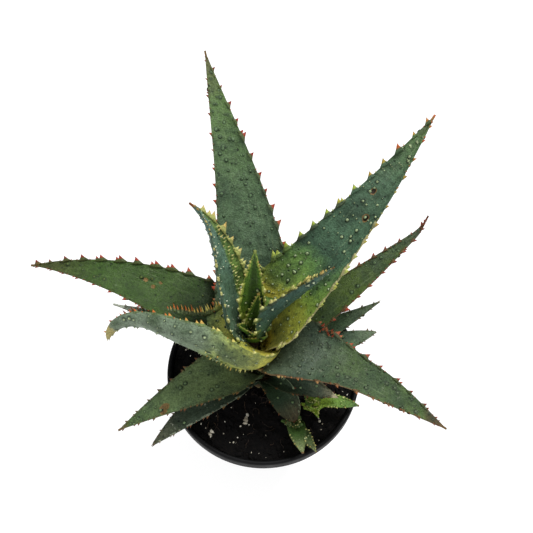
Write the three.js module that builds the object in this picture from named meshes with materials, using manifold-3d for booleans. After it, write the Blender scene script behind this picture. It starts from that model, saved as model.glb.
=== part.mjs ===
// A potted conifera aloe, in millimetres. +Z is up, +X to the viewer's right, +Y away from the viewer.
// The origin is the middle of the pot's flat foot, where it stands.
import * as THREE from "three";
import { mergeVertices } from "three/addons/utils/BufferGeometryUtils.js";
import Module from "manifold-3d";

const wasm = await Module();
wasm.setup();

// Pot: a round nursery pot of black plastic
const POT_TOP_RADIUS = 54;
const POT_FOOT_RADIUS = 34;
const POT_HEIGHT = 78;
const POT_WALL = 1.4;
const RIM_BAND = 9;
const RIM_STEP = 1.6;
const FOOT_THICKNESS = 2;
const POT_SIDES = 44;
const DRAIN_HOLES = 6;
const DRAIN_RADIUS = 4;
const DRAIN_CIRCLE = 25;
const DRAIN_SIDES = 10;

// Soil: peat almost level with the rim
const CLEARANCE = 0.35;
const SLIVER = 0.03;
const PARTING = 0.03;
const SOIL_TOP = 74;
const SOIL_RIPPLE = 0.7;
const SOIL_SECTORS = 32;
const SOIL_RINGS = 6;

// Stem: it leans back a little, and its root crown stands in a plain hole in the soil
const STEM_FOOT = new THREE.Vector3(-2, -5, SOIL_TOP);
const STEM_TOP = new THREE.Vector3(-6, 7, 122);
const STEM_RADIUS = 5;
const LEAF_SCAR_STEP = 4.2;
const LEAF_SCAR_DEPTH = 0.4;
const ROOT_CROWN_RADIUS = 6.4;
const ROOT_CROWN_DEPTH = 20;
const STEM_SIDES = 10;
const LAST_SCAR = 112;
const STEM_END = 115;
const STEM_END_RADIUS = 2.2;

// Leaf bases: each clasps the stem, stands almost upright there, then opens out into the blade
const BASE_RADIUS = 6.6;
const SHEATH_RISE = 82;
const SHEATH_LENGTH = 7;
const SHEATH_WRAP = 78;
const SHEATH_OPENS = 11;
const BASE_NARROWING = 0.62;
const NARROW_LENGTH = 16;
const MIDRIB_STEPS = 240;
const HOOK_FROM = 0.86;
const CHANNEL_LOSS = 0.3;
const TIP_HALF_WIDTH = 0.5;
const TIP_THICKNESS = 0.9;
const THINNING = 0.7;
const MARGIN_POWER = 2.4;
const MARGIN_SWELL = 1.5;
const WAIST_AT = 0.5;
const WAIST_REACH = 0.16;
const PLUMP_AT = 0.15;
const PLUMP_REACH = 0.13;
const SECTION_CROWDING = 1.3;
const ACROSS = [-1, -0.62, 0, 0.62, 1];

// Spines: teeth on the margins and prickles on both faces
const TOOTH_THICKNESS = 0.34;
const TOOTH_ROOT = 1.3;
const TOOTH_LEAN = 0.35;
const TOOTH_RADIUS = 0.55;
const FIRST_TOOTH = 8;
const LAST_TOOTH = 3;
const PRICKLE_HEIGHT = 1.3;
const PRICKLE_RADIUS = 0.95;
const PRICKLE_ROOT = 0.7;
const PRICKLES_FROM = 0.12;
const PRICKLES_TO = 0.86;
const PRICKLES_ACROSS = 0.8;
const SPINE_SIDES = 3;
const UP_THE_SPINE = new THREE.Vector3(0, 1, 0);

// Each leaf: height on the stem; aim (0 right, 90 back) and rise above level, in degrees, at the base,
// the middle and the tip; length, width and thickness. taper and point shape its outline, and waist
// narrows it halfway. channel is how far each half curls up, and plump thickens the upper face near
// the base. roll turns the blade on its midrib, from rollFrom and over rollOver of its length, and
// hook bends its tip up. base is how far it starts from the stem's axis, and sheathOpens and
// sheathLength are how soon its sheath opens and bends out. teeth gives their length and spacing.
const LEAVES = {
  heart: {
    height: 118, aim: [84, 84, 84], rise: [75, 68, 60], length: 46, width: 18, thickness: 2.2,
    taper: 2, channel: 60, base: 2.2, teeth: [1.8, 5], prickles: 4, colour: 0x7d9a3c,
  },
  young_right: {
    height: 115, aim: [16, 16, 20], rise: [55, 48, 38], length: 58, width: 32, thickness: 2.6,
    taper: 1.6, channel: 40, base: 4.2, sheathOpens: 8, roll: 60, rollFrom: 0, rollOver: 0.4,
    teeth: [2.4, 6], prickles: 10, colour: 0x5f7f66,
  },
  young_left: {
    height: 114, aim: [165, 108, 165], rise: [68, 57, 44], length: 79, width: 30, thickness: 2.8,
    taper: 2, channel: 45, base: 4.6, sheathOpens: 8, roll: -45, rollFrom: 0, rollOver: 0.4,
    teeth: [2.4, 6.5], prickles: 14, colour: 0x6a8a6e,
  },
  arching: {
    height: 106, aim: [236, 159, 222], rise: [10, 14, -76], length: 91, width: 63, thickness: 3.6,
    taper: 1.2, point: 1.05, plump: 8, channel: 92, sheathOpens: 12, roll: -60, rollFrom: 0.02,
    rollOver: 0.4, sections: 18, teeth: [3, 6.8], prickles: 20, colour: 0x8a9b62,
  },
  right_back: {
    height: 110, aim: [34, 43, 53], rise: [42, 31, 20], length: 141, width: 50, thickness: 4.2,
    taper: 1, channel: 40, teeth: [3.2, 9], prickles: 22, colour: 0x5d7c5a,
  },
  back: {
    height: 104, aim: [88, 104, 104], rise: [38, 30, 22], length: 154, width: 50, thickness: 4.4,
    taper: 1, channel: 22, teeth: [3, 9.5], prickles: 22, colour: 0x53705a,
  },
  right_front: {
    height: 101, aim: [-16, -28, -26], rise: [28, -2, -26], length: 106, width: 46, thickness: 4.4,
    taper: 1, waist: 0.14, channel: 22, teeth: [3, 9], prickles: 20, colour: 0x5a6f52,
  },
  left: {
    height: 100, aim: [154, 163, 168], rise: [38, 9, -20], length: 130, width: 44, thickness: 4.2,
    channel: 22, teeth: [3.2, 9], prickles: 18, colour: 0x56703f,
  },
  right: {
    height: 96, aim: [26, 36, 40], rise: [15, 10, 5], length: 118, width: 31, thickness: 4,
    taper: 1, channel: 25, hook: 34, teeth: [2.6, 9], prickles: 14, colour: 0x52683f,
  },
  left_front: {
    height: 88, aim: [209, 208, 207], rise: [12, -4, -20], length: 79, width: 36, thickness: 3.8,
    channel: 20, teeth: [2.4, 8], prickles: 12, colour: 0x4f6b45,
  },
  left_under: {
    height: 86, aim: [155, 157, 159], rise: [5, -2, -10], length: 87, width: 24, thickness: 3.2,
    channel: 20, teeth: [2, 10], prickles: 6, colour: 0x55675a,
  },
  right_low_back: {
    height: 86, aim: [22, 28, 35], rise: [5, -2, -10], length: 77, width: 24, thickness: 3.2,
    channel: 20, teeth: [2, 9], prickles: 6, colour: 0x5b7459,
  },
  right_low: {
    height: 84, aim: [10, 16, 22], rise: [5, -1, -8], length: 66, width: 15, thickness: 3,
    taper: 4, channel: 20, teeth: [2, 9], prickles: 5, colour: 0x5b7459,
  },
  left_low: {
    height: 80, aim: [215, 218, 221], rise: [10, -2, -15], length: 68, width: 21, thickness: 3,
    taper: 2, channel: 20, teeth: [2, 9], prickles: 6, colour: 0x4b5a4c,
  },
  front_right_low: {
    height: 80, aim: [-26, -22, -18], rise: [5, -1, -8], length: 43, width: 20, thickness: 3,
    taper: 2, channel: 20, teeth: [1.8, 8], prickles: 3, colour: 0x4e5f4e,
  },
  front_low: {
    height: 80, aim: [-50, -58, -66], rise: [5, -7, -20], length: 33, width: 16, thickness: 3,
    taper: 6, channel: 20, teeth: [1.8, 8], prickles: 5, colour: 0x4d6350,
  },
};

// Offsets: small rosettes at the foot of the plant, each one body on its own short stub
const OFFSET_DEPTH = 12;
const OFFSET_RADIUS = 2.4;
const OFFSETS = {
  offset_right: {
    foot: [26, -20], height: 79,
    leaves: [
      { aim: [-6, -9, -12], rise: [20, 4, -4], length: 27, width: 8, taper: 4, channel: 25 },
      { aim: [60, 60, 60], rise: [60, 50, 40], length: 9, width: 7, taper: 2, channel: 40 },
      { aim: [150, 150, 150], rise: [60, 50, 40], length: 10, width: 7, taper: 2, channel: 40 },
      { aim: [235, 235, 235], rise: [55, 45, 35], length: 10, width: 7, taper: 2, channel: 40 },
    ],
    colour: 0x7c9c33,
  },
  offset_front: {
    foot: [17, -33], height: 78,
    leaves: [
      { aim: [-84, -80, -76], rise: [48, 25, 5], length: 21, width: 11, taper: 3, channel: 50 },
      { aim: [-58, -56, -60], rise: [30, 12, 0], length: 21, width: 7, taper: 3, channel: 25 },
      { aim: [190, 190, 190], rise: [60, 50, 40], length: 9, width: 7, taper: 2, channel: 40 },
    ],
    colour: 0x71914a,
  },
};

const degrees = THREE.MathUtils.degToRad;
const { clamp, lerp } = THREE.MathUtils;
const smoothstep = (x) => THREE.MathUtils.smoothstep(x, 0, 1);

// A closed geometry's solid, for joining and cutting.
function solidOf(geometry) {
  const bare = new THREE.BufferGeometry();
  bare.setAttribute("position", geometry.getAttribute("position"));
  bare.setIndex(geometry.index);
  const merged = mergeVertices(bare, 1e-4);
  return new wasm.Manifold(
    new wasm.Mesh({
      numProp: 3,
      vertProperties: merged.attributes.position.array,
      triVerts: new Uint32Array(merged.index.array),
    }),
  );
}

function geometryOf(solid) {
  const mesh = solid.getMesh();
  const geometry = new THREE.BufferGeometry();
  geometry.setAttribute("position", new THREE.BufferAttribute(mesh.vertProperties, 3));
  geometry.setIndex(new THREE.BufferAttribute(mesh.triVerts, 1));
  partTouching(geometry);
  geometry.computeVertexNormals();
  return geometry;
}

// Where a cut leaves two sheets of a solid touching along an edge, each of its twin vertices
// moves a hair towards its own neighbours, so that the sheets part.
function partTouching(geometry) {
  const position = geometry.getAttribute("position");
  const vertex = (i) => new THREE.Vector3().fromBufferAttribute(position, i);
  const twins = new Map();
  for (let i = 0; i < position.count; i++) {
    const place = vertex(i).multiplyScalar(1000).round().toArray().join();
    twins.set(place, [...(twins.get(place) ?? []), i]);
  }
  const touching = new Set([...twins.values()].filter((row) => row.length > 1).flat());
  const sums = new Map([...touching].map((i) => [i, { sum: new THREE.Vector3(), count: 0 }]));
  const corners = geometry.index.array;
  corners.forEach((i, k) => {
    if (!touching.has(i)) return;
    const first = k - (k % 3);
    for (const j of corners.slice(first, first + 3)) {
      if (touching.has(j)) continue;
      sums.get(i).sum.add(vertex(j));
      sums.get(i).count += 1;
    }
  });
  for (const [i, { sum, count }] of sums) {
    if (!count) continue;
    const own = vertex(i);
    const inward = sum.divideScalar(count).sub(own).setLength(PARTING);
    position.setXYZ(i, ...own.add(inward).toArray());
  }
}

// The closed skin over a row of rings with equal counts of points, each anticlockwise seen from its end.
// From the point numbered otherWay on, the strips are split along their other diagonal.
function skinOver(rings, otherWay = Infinity) {
  const around = rings[0].length;
  const points = rings.flat();
  const faces = [];
  for (let i = 0; i + 1 < rings.length; i++) {
    for (let j = 0; j < around; j++) {
      const a = i * around + j;
      const b = i * around + ((j + 1) % around);
      if (j < otherWay) faces.push(a, b, b + around, a, b + around, a + around);
      else faces.push(a, b, a + around, b, b + around, a + around);
    }
  }
  const last = (rings.length - 1) * around;
  for (let j = 1; j + 1 < around; j++) {
    faces.push(0, j + 1, j);
    faces.push(last, last + j, last + j + 1);
  }
  const geometry = new THREE.BufferGeometry().setFromPoints(points);
  geometry.setIndex(faces);
  return geometry;
}

// A profile of (radius, height) points turned round the Z axis.
function turned(profile, sides) {
  const points = profile.map(([radius, height]) => new THREE.Vector2(radius, height));
  const geometry = new THREE.LatheGeometry(points, sides);
  geometry.rotateX(Math.PI / 2);
  return geometry;
}

function cylinderAt(x, y, low, high, radius, sides) {
  const geometry = new THREE.CylinderGeometry(radius, radius, high - low, sides);
  geometry.rotateX(Math.PI / 2);
  geometry.translate(x, y, (low + high) / 2);
  return geometry;
}

// Repeatable random numbers from 0 to 1 (a linear congruential generator).
function randomFrom(seed) {
  let state = seed;
  return () => {
    state = (state * 1664525 + 1013904223) % 4294967296;
    return state / 4294967296;
  };
}

// The value at t of the curve through three values at 0, 1/2 and 1.
function through([start, middle, end], t) {
  return start * (1 - t) * (1 - 2 * t) + middle * 4 * t * (1 - t) + end * t * (2 * t - 1);
}

function stemCentre(height) {
  const share = clamp((height - STEM_FOOT.z) / (STEM_TOP.z - STEM_FOOT.z), 0, 1.2);
  const centre = STEM_FOOT.clone().lerp(STEM_TOP, share);
  centre.z = height;
  return centre;
}

// Midrib: frames along it, from the base to the tip, each with its point and three directions
function midribOf(leaf) {
  const frames = [];
  const point = leaf.start.clone();
  const step = leaf.length / MIDRIB_STEPS;
  let before = null;
  for (let i = 0; i <= MIDRIB_STEPS; i++) {
    const t = i / MIDRIB_STEPS;
    const upright = Math.exp((-t * leaf.length) / leaf.sheathLength);
    const hook = leaf.hook * smoothstep((t - HOOK_FROM) / (1 - HOOK_FROM));
    const rise = degrees(through(leaf.rise, t) + (SHEATH_RISE - leaf.rise[0]) * upright + hook);
    const aim = degrees(through(leaf.aim, t) + hook / 2);
    const along = new THREE.Vector3(
      Math.cos(rise) * Math.cos(aim),
      Math.cos(rise) * Math.sin(aim),
      Math.sin(rise),
    );
    const level = new THREE.Vector3(Math.sin(aim), -Math.cos(aim), 0);
    const roll = degrees(leaf.roll * smoothstep((t - leaf.rollFrom) / leaf.rollOver));
    const side = level
      .clone()
      .multiplyScalar(Math.cos(roll))
      .addScaledVector(level.clone().cross(along), Math.sin(roll));
    const up = side.clone().cross(along);
    if (before) point.addScaledVector(before.clone().add(along), step / 2);
    frames.push({ point: point.clone(), along, side, up });
    before = along;
  }
  return frames;
}

function frameAt(leaf, t) {
  const place = clamp(t, 0, 1) * MIDRIB_STEPS;
  const i = Math.min(Math.floor(place), MIDRIB_STEPS - 1);
  const a = leaf.midrib[i];
  const b = leaf.midrib[i + 1];
  const mix = (key) => a[key].clone().lerp(b[key], place - i);
  return { point: mix("point"), along: mix("along"), side: mix("side"), up: mix("up") };
}

function halfWidthAt(leaf, t) {
  const outline = (1 - t ** leaf.taper) ** leaf.point;
  const waist = 1 - leaf.waist * Math.exp(-(((t - WAIST_AT) / WAIST_REACH) ** 2));
  const reach = smoothstep((t * leaf.length) / leaf.narrowLength);
  const narrowed = lerp(BASE_NARROWING, 1, reach);
  return Math.max((leaf.width / 2) * outline * waist * narrowed, TIP_HALF_WIDTH);
}

// The angle through which each half of the blade curls up: most at the sheath, less to the tip.
function curlAt(leaf, t) {
  const blade = leaf.channel * (1 - CHANNEL_LOSS * t);
  const sheath = Math.exp((-t * leaf.length) / leaf.sheathOpens);
  return degrees(blade + (SHEATH_WRAP - blade) * sheath);
}

function thicknessAt(leaf, t, v) {
  const middle = lerp(TIP_THICKNESS, leaf.thickness, (1 - t) ** THINNING);
  return middle * (1 - Math.abs(v) ** MARGIN_POWER);
}

// How far the fleshy base lifts the upper face, most in its middle.
function plumpAt(leaf, t, v) {
  return leaf.plump * Math.exp(-(((t - PLUMP_AT) / PLUMP_REACH) ** 2)) * (1 - v * v);
}

// A point of the blade: t runs from base to tip, v from the left margin (-1) to the right one (1),
// and depth from the upper face (0) to the lower one (1). swell grows the blade by a clearance.
function bladePoint(leaf, t, v, depth, swell = 0) {
  const { point, side, up } = frameAt(leaf, t);
  const curl = curlAt(leaf, t);
  const radius = halfWidthAt(leaf, t) / curl;
  const angle = v * (curl + (MARGIN_SWELL * swell) / radius);
  const upper = -swell - plumpAt(leaf, t, v);
  const lower = swell + thicknessAt(leaf, t, v);
  const sink = lerp(upper, lower, depth);
  return point
    .addScaledVector(side, (radius + sink) * Math.sin(angle))
    .addScaledVector(up, radius - (radius + sink) * Math.cos(angle));
}

function bladeOf(leaf, swell = 0) {
  const rings = [];
  for (let i = 0; i <= leaf.sections; i++) {
    const t = (i / leaf.sections) ** SECTION_CROWDING;
    const upper = ACROSS.map((v) => bladePoint(leaf, t, v, 0, swell));
    const inside = swell > 0 ? ACROSS : ACROSS.slice(1, -1);
    const under = inside.map((v) => bladePoint(leaf, t, -v, 1, swell));
    rings.push([...upper, ...under]);
  }
  rings[0].forEach((point) => point.addScaledVector(frameAt(leaf, 0).along, -swell));
  rings.at(-1).forEach((point) => point.addScaledVector(frameAt(leaf, 1).along, swell));
  return solidOf(skinOver(rings, ACROSS.length - 1));
}

// A spine: a slim pyramid from below the surface out to its point.
function spineOf(root, direction, length, radius, depth) {
  const spine = new THREE.ConeGeometry(radius, length + depth, SPINE_SIDES);
  spine.translate(0, (length - depth) / 2, 0);
  spine.applyQuaternion(new THREE.Quaternion().setFromUnitVectors(UP_THE_SPINE, direction));
  spine.translate(root.x, root.y, root.z);
  return solidOf(spine);
}

function teethOf(leaf, random) {
  const [long, spacing] = leaf.teeth;
  const made = [];
  for (const v of [-1, 1]) {
    const end = leaf.length - LAST_TOOTH;
    for (let s = FIRST_TOOTH + 4 * random(); s < end; s += spacing * (0.85 + 0.3 * random())) {
      const t = s / leaf.length;
      const { along, side, up } = frameAt(leaf, t);
      const curl = curlAt(leaf, t);
      const out = side
        .multiplyScalar(v * Math.cos(curl))
        .addScaledVector(up, Math.sin(curl))
        .addScaledVector(along, TOOTH_LEAN)
        .normalize();
      const length = long * (1.05 - 0.55 * t) * (0.85 + 0.3 * random());
      const radius = Math.max(length * TOOTH_THICKNESS, TOOTH_RADIUS);
      made.push(spineOf(bladePoint(leaf, t, v, 0), out, length, radius, TOOTH_ROOT));
    }
  }
  return made;
}

// Prickles spread evenly over both faces: their places follow the golden ratio.
function pricklesOf(leaf) {
  const made = [];
  for (let i = 0; i < leaf.prickles; i++) {
    const t = lerp(PRICKLES_FROM, PRICKLES_TO, (0.618034 * i + 0.3) % 1);
    const v = PRICKLES_ACROSS * lerp(-1, 1, (0.754878 * i + 0.2) % 1);
    const face = i % 2;
    const root = bladePoint(leaf, t, v, face);
    const out = bladePoint(leaf, t, v, 1 - face).sub(root).negate().normalize();
    made.push(spineOf(root, out, PRICKLE_HEIGHT, PRICKLE_RADIUS, PRICKLE_ROOT));
  }
  return made;
}

// A leaf's full description: what its row leaves out gets the usual value.
function described(row, start) {
  const leaf = {
    taper: 1.1, point: 1, waist: 0, hook: 0, plump: 0, roll: 0, rollFrom: 0.05, rollOver: 0.3,
    sheathOpens: SHEATH_OPENS, sheathLength: SHEATH_LENGTH, narrowLength: NARROW_LENGTH,
    sections: Math.round(6 + row.length / 14), ...row, start,
  };
  leaf.midrib = midribOf(leaf);
  return leaf;
}

const group = new THREE.Group();
group.name = "potted_conifera_aloe";

function addNode(name, solid, colour, roughness) {
  const material = new THREE.MeshStandardMaterial({ color: colour, roughness, metalness: 0 });
  const mesh = new THREE.Mesh(geometryOf(solid), material);
  mesh.name = name;
  group.add(mesh);
}

// Pot with its rolled rim band, and drain holes in the foot
const bandLow = POT_HEIGHT - RIM_BAND;
const wallRadius = (height) =>
  lerp(POT_FOOT_RADIUS, POT_TOP_RADIUS - RIM_STEP, height / bandLow);
const innerTop = POT_TOP_RADIUS - RIM_STEP - POT_WALL + 0.5;
const potProfile = [
  [0, 0],
  [POT_FOOT_RADIUS - 1.5, 0],
  [wallRadius(1.5), 1.5],
  [wallRadius(bandLow), bandLow],
  [POT_TOP_RADIUS - 0.4, bandLow + 0.6],
  [POT_TOP_RADIUS, bandLow + 1.6],
  [POT_TOP_RADIUS, POT_HEIGHT - 0.9],
  [POT_TOP_RADIUS - 0.7, POT_HEIGHT],
  [innerTop + 0.7, POT_HEIGHT],
  [innerTop, POT_HEIGHT - 0.9],
  [wallRadius(bandLow) - POT_WALL, bandLow - 3],
  [wallRadius(FOOT_THICKNESS) - POT_WALL, FOOT_THICKNESS],
  [0, FOOT_THICKNESS],
];
let pot = solidOf(turned(potProfile, POT_SIDES));
for (let i = 0; i < DRAIN_HOLES; i++) {
  const angle = ((i + 0.5) / DRAIN_HOLES) * 2 * Math.PI;
  const x = DRAIN_CIRCLE * Math.cos(angle);
  const y = DRAIN_CIRCLE * Math.sin(angle);
  pot = pot.subtract(solidOf(cylinderAt(x, y, -1, FOOT_THICKNESS + 1, DRAIN_RADIUS, DRAIN_SIDES)));
}
addNode("pot", pot, 0x0b0b0c, 0.45);

// Soil: its top ripples by a sum of waves, and it has plain holes for the stem and the offsets
function soilHeight(x, y) {
  const waves =
    Math.sin(0.31 * x + 1.3) * Math.cos(0.27 * y) +
    0.6 * Math.sin(0.71 * y - 0.52 * x) +
    0.5 * Math.cos(0.93 * x + 0.64 * y);
  return SOIL_TOP + SOIL_RIPPLE * waves;
}
const soilSide = [
  [wallRadius(FOOT_THICKNESS) - POT_WALL - CLEARANCE - 0.3, FOOT_THICKNESS + CLEARANCE],
  [wallRadius(bandLow) - POT_WALL - CLEARANCE - 0.3, bandLow - 3],
  [innerTop - CLEARANCE - 0.3, SOIL_TOP],
];
const soilRings = soilSide.map(([radius, height]) =>
  Array.from({ length: SOIL_SECTORS }, (_, j) => {
    const angle = (j / SOIL_SECTORS) * 2 * Math.PI;
    return new THREE.Vector3(radius * Math.cos(angle), radius * Math.sin(angle), height);
  }),
);
for (let i = SOIL_RINGS - 1; i > 0; i--) {
  const radius = (soilSide[2][0] * i) / SOIL_RINGS;
  soilRings.push(
    Array.from({ length: SOIL_SECTORS }, (_, j) => {
      const angle = ((j + (i % 2) / 2) / SOIL_SECTORS) * 2 * Math.PI;
      const x = radius * Math.cos(angle);
      const y = radius * Math.sin(angle);
      return new THREE.Vector3(x, y, soilHeight(x, y));
    }),
  );
}
let soil = solidOf(skinOver(soilRings));

function dig(x, y, radius, depth) {
  const hole = cylinderAt(x, y, SOIL_TOP - depth, SOIL_TOP + 5, radius, 16);
  soil = soil.subtract(solidOf(hole));
}
dig(STEM_FOOT.x, STEM_FOOT.y, ROOT_CROWN_RADIUS + CLEARANCE + 0.2, ROOT_CROWN_DEPTH + CLEARANCE);
for (const { foot } of Object.values(OFFSETS)) {
  dig(foot[0], foot[1], OFFSET_RADIUS + CLEARANCE, OFFSET_DEPTH + CLEARANCE);
}
addNode("soil", soil, 0x15110e, 1);

// Stem with the scars of old leaves, on its root crown
const stemRings = [];
function stemRing(height, radius) {
  const centre = stemCentre(height);
  stemRings.push(
    Array.from({ length: STEM_SIDES }, (_, j) => {
      const angle = (j / STEM_SIDES) * 2 * Math.PI;
      return new THREE.Vector3(
        centre.x + radius * Math.cos(angle),
        centre.y + radius * Math.sin(angle),
        height,
      );
    }),
  );
}
stemRing(SOIL_TOP - ROOT_CROWN_DEPTH, ROOT_CROWN_RADIUS * 0.5);
stemRing(SOIL_TOP - ROOT_CROWN_DEPTH * 0.6, ROOT_CROWN_RADIUS);
stemRing(SOIL_TOP - ROOT_CROWN_DEPTH * 0.2, ROOT_CROWN_RADIUS);
for (let height = SOIL_TOP; height < LAST_SCAR; height += LEAF_SCAR_STEP) {
  const share = (height - SOIL_TOP) / (LAST_SCAR - SOIL_TOP);
  const radius = lerp(STEM_RADIUS + 0.4, STEM_RADIUS - 1, share);
  stemRing(height, radius);
  stemRing(height + LEAF_SCAR_STEP * 0.7, radius - LEAF_SCAR_DEPTH);
}
stemRing(STEM_END, STEM_END_RADIUS);
addNode("stem", solidOf(skinOver(stemRings)), 0x5a5538, 0.9);

// Main leaves, from the heart outwards: a lower leaf makes room for those that it clasps
const leaves = Object.entries(LEAVES).map(([name, row]) => {
  const centre = stemCentre(row.height);
  const aim = degrees(row.aim[0]);
  const out = new THREE.Vector3(Math.cos(aim), Math.sin(aim), 0);
  const leaf = described(row, centre.addScaledVector(out, row.base ?? BASE_RADIUS));
  return { name, leaf, blade: bladeOf(leaf), swollen: bladeOf(leaf, CLEARANCE) };
});

// Joins those spines that touch none of the other solids.
function withSpines(body, spines, others) {
  const free = spines.filter((spine) => others.every((o) => spine.intersect(o).isEmpty()));
  return largestPiece(wasm.Manifold.union([body, ...free]));
}

// The largest piece of a cut solid, with the slivers along its cuts merged away.
function largestPiece(solid) {
  const pieces = solid.simplify(SLIVER).decompose();
  return pieces.sort((a, b) => b.volume() - a.volume())[0];
}

const placed = [];
leaves.forEach(({ name, leaf, blade }, i) => {
  const inner = leaves.slice(0, i).map((other) => other.swollen);
  const cut = largestPiece(wasm.Manifold.difference([blade, ...inner]));
  const others = leaves.filter((other) => other.name !== name).map((other) => other.swollen);
  const spines = [...teethOf(leaf, randomFrom(11 + i)), ...pricklesOf(leaf)];
  const solid = withSpines(cut, spines, [...others, ...placed]);
  placed.push(solid);
  addNode(name, solid, leaf.colour, 0.55);
});

// Offsets: a stub in the soil with its small leaves, fused
for (const [name, row] of Object.entries(OFFSETS)) {
  const [x, y] = row.foot;
  const stub = cylinderAt(x, y, SOIL_TOP - OFFSET_DEPTH, row.height + 2, OFFSET_RADIUS, 8);
  let rosette = solidOf(stub);
  const spines = [];
  row.leaves.forEach((small, i) => {
    const start = new THREE.Vector3(x, y, row.height);
    const usual = { thickness: 2, sheathLength: 2, sheathOpens: 3, narrowLength: 4, sections: 5 };
    const leaf = described({ ...usual, teeth: [1.1, 4.6], prickles: 0, ...small }, start);
    rosette = rosette.add(bladeOf(leaf));
    spines.push(...teethOf(leaf, randomFrom(71 + i)));
  });
  const others = leaves.map((other) => other.swollen);
  const cut = largestPiece(wasm.Manifold.difference([rosette, ...others]));
  addNode(name, withSpines(cut, spines, [...others, ...placed]), row.colour, 0.5);
}

export default group;
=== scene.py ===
# %% [markdown]
# # A potted conifera aloe
# The plant is a young toothed aloe on a short stem, with two offsets at its foot, in peat in a
# round black nursery pot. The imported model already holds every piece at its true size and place.
# This file grows a finer surface for each piece from the same measures, so nothing moves, and
# gives each one the skin, the plastic or the peat that the eye expects.

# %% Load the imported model
import math

import bpy
import numpy as np
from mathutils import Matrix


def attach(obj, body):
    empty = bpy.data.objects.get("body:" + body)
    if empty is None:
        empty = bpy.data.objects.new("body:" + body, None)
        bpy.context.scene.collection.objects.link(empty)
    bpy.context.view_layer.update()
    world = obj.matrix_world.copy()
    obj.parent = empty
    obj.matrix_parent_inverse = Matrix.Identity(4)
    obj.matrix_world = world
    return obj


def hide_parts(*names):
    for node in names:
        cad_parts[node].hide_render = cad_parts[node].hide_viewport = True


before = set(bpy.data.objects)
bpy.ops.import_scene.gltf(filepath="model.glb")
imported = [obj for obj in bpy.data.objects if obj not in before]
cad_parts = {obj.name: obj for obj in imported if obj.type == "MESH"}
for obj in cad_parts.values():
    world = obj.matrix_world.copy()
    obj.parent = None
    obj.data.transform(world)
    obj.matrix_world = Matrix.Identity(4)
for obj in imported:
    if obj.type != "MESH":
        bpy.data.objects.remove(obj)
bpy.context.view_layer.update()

# %% [markdown]
# ## Camera
# The photograph looks down at about 59 degrees from close by. The distance is a guess: a short one,
# because no wall shows below the pot's rim. For that distance, the ellipse of the rim gives the
# tilt, the place and the focal length. A 36 mm sensor keeps the lens in familiar numbers: the focal
# length in pixels, over the picture's width, times 36.

# %% Set the camera where the photograph was taken
MM = 0.001
PICTURE_WIDTH = 533
FOCAL_PIXELS = 643.4
SENSOR_WIDTH = 36
CAMERA_PLACE = np.array([1.7, -138.0, 416.1]) * MM
CAMERA_PITCH = 58.9

camera_data = bpy.data.cameras.new("camera")
camera_data.sensor_width = SENSOR_WIDTH
camera_data.lens = SENSOR_WIDTH * FOCAL_PIXELS / PICTURE_WIDTH
camera = bpy.data.objects.new("camera", camera_data)
camera.location = CAMERA_PLACE
camera.rotation_euler = (math.radians(90 - CAMERA_PITCH), 0, 0)
bpy.context.scene.collection.objects.link(camera)
bpy.context.scene.camera = camera
print("lens:", round(camera_data.lens, 2), "mm")

# %% [markdown]
# ## Colours and nodes
# Paint is chosen as sRGB hex, the way a colour picker shows it, but shaders count in linear light,
# so one function turns one into the other. A second function adds any node at all: it sets what is
# a value, and links what is a socket. Pattern scales come from a real size in millimetres.

# %% Colour and node helpers
def srgb(code):
    """Linear red, green, blue and alpha of an sRGB hex colour: v/12.92 low down, a 2.4 power above."""
    shares = [int(code[i:i + 2], 16) / 255 for i in (1, 3, 5)]
    linear = [s / 12.92 if s <= 0.04045 else ((s + 0.055) / 1.055) ** 2.4 for s in shares]
    return (*linear, 1.0)


def per_mm(size):
    """Texture scale at which one cell of the pattern is this many millimetres across."""
    return 1 / (size * MM)


def add(material, kind, inputs=None, stops=None, **settings):
    """Adds a node, sets its settings, fills its inputs (a socket is linked) and its ramp's stops."""
    made = material.node_tree.nodes.new("ShaderNode" + kind)
    for name, value in settings.items():
        setattr(made, name, value)
    for name, value in (inputs or {}).items():
        if isinstance(value, bpy.types.NodeSocket):
            value.id_data.links.new(value, made.inputs[name])
        else:
            made.inputs[name].default_value = value
    if stops:
        ramp = made.color_ramp
        while len(ramp.elements) < len(stops):
            ramp.elements.new(1.0)
        for element, (place, code) in zip(ramp.elements, stops):
            element.position = place
            element.color = srgb(code)
    return made


def link(output, socket):
    """Links a node's output to a socket of the same material."""
    output.id_data.links.new(output, socket)


def new_material(name, **constants):
    """An empty material with a Principled shader, its constant sockets set on the shader itself."""
    material = bpy.data.materials.new(name)
    material.use_nodes = True
    material.node_tree.nodes.clear()
    inputs = {key.replace("_", " "): value for key, value in constants.items()}
    shader = add(material, "BsdfPrincipled", inputs)
    add(material, "OutputMaterial", {"Surface": shader.outputs["BSDF"]})
    return material, shader


# %% [markdown]
# ## Studio
# The plant stands on a plain white light table, under soft light from all round, as for a
# catalogue. The table glows like a lamp, so that even the shadow on it is almost white. The light is
# a sun lamp seen as a wide disc, because it falls off nowhere: above, behind and to the right, as
# the dark side of each boss in the photograph tells. A weaker one fills in from the front.

# %% Floor, sky and lamps
bpy.context.scene.view_settings.view_transform = "Standard"

floor_material = new_material(
    "white_light_table", Base_Color=srgb("#909090"), Roughness=0.9,
    Emission_Color=(1, 1, 1, 1), Emission_Strength=0.85)[0]
floor_mesh = bpy.data.meshes.new("floor")
FLOOR_HALF = 6.0
FLOOR_LEVEL = -0.2 * MM    # a hair under the pot's foot, so that the two flat faces don't coincide
floor_mesh.from_pydata([(x * FLOOR_HALF, y * FLOOR_HALF, FLOOR_LEVEL) for x, y in (
    (-1, -1), (1, -1), (1, 1), (-1, 1))], [], [(0, 1, 2, 3)])
floor_mesh.materials.append(floor_material)
floor = bpy.data.objects.new("floor", floor_mesh)
bpy.context.scene.collection.objects.link(floor)

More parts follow.
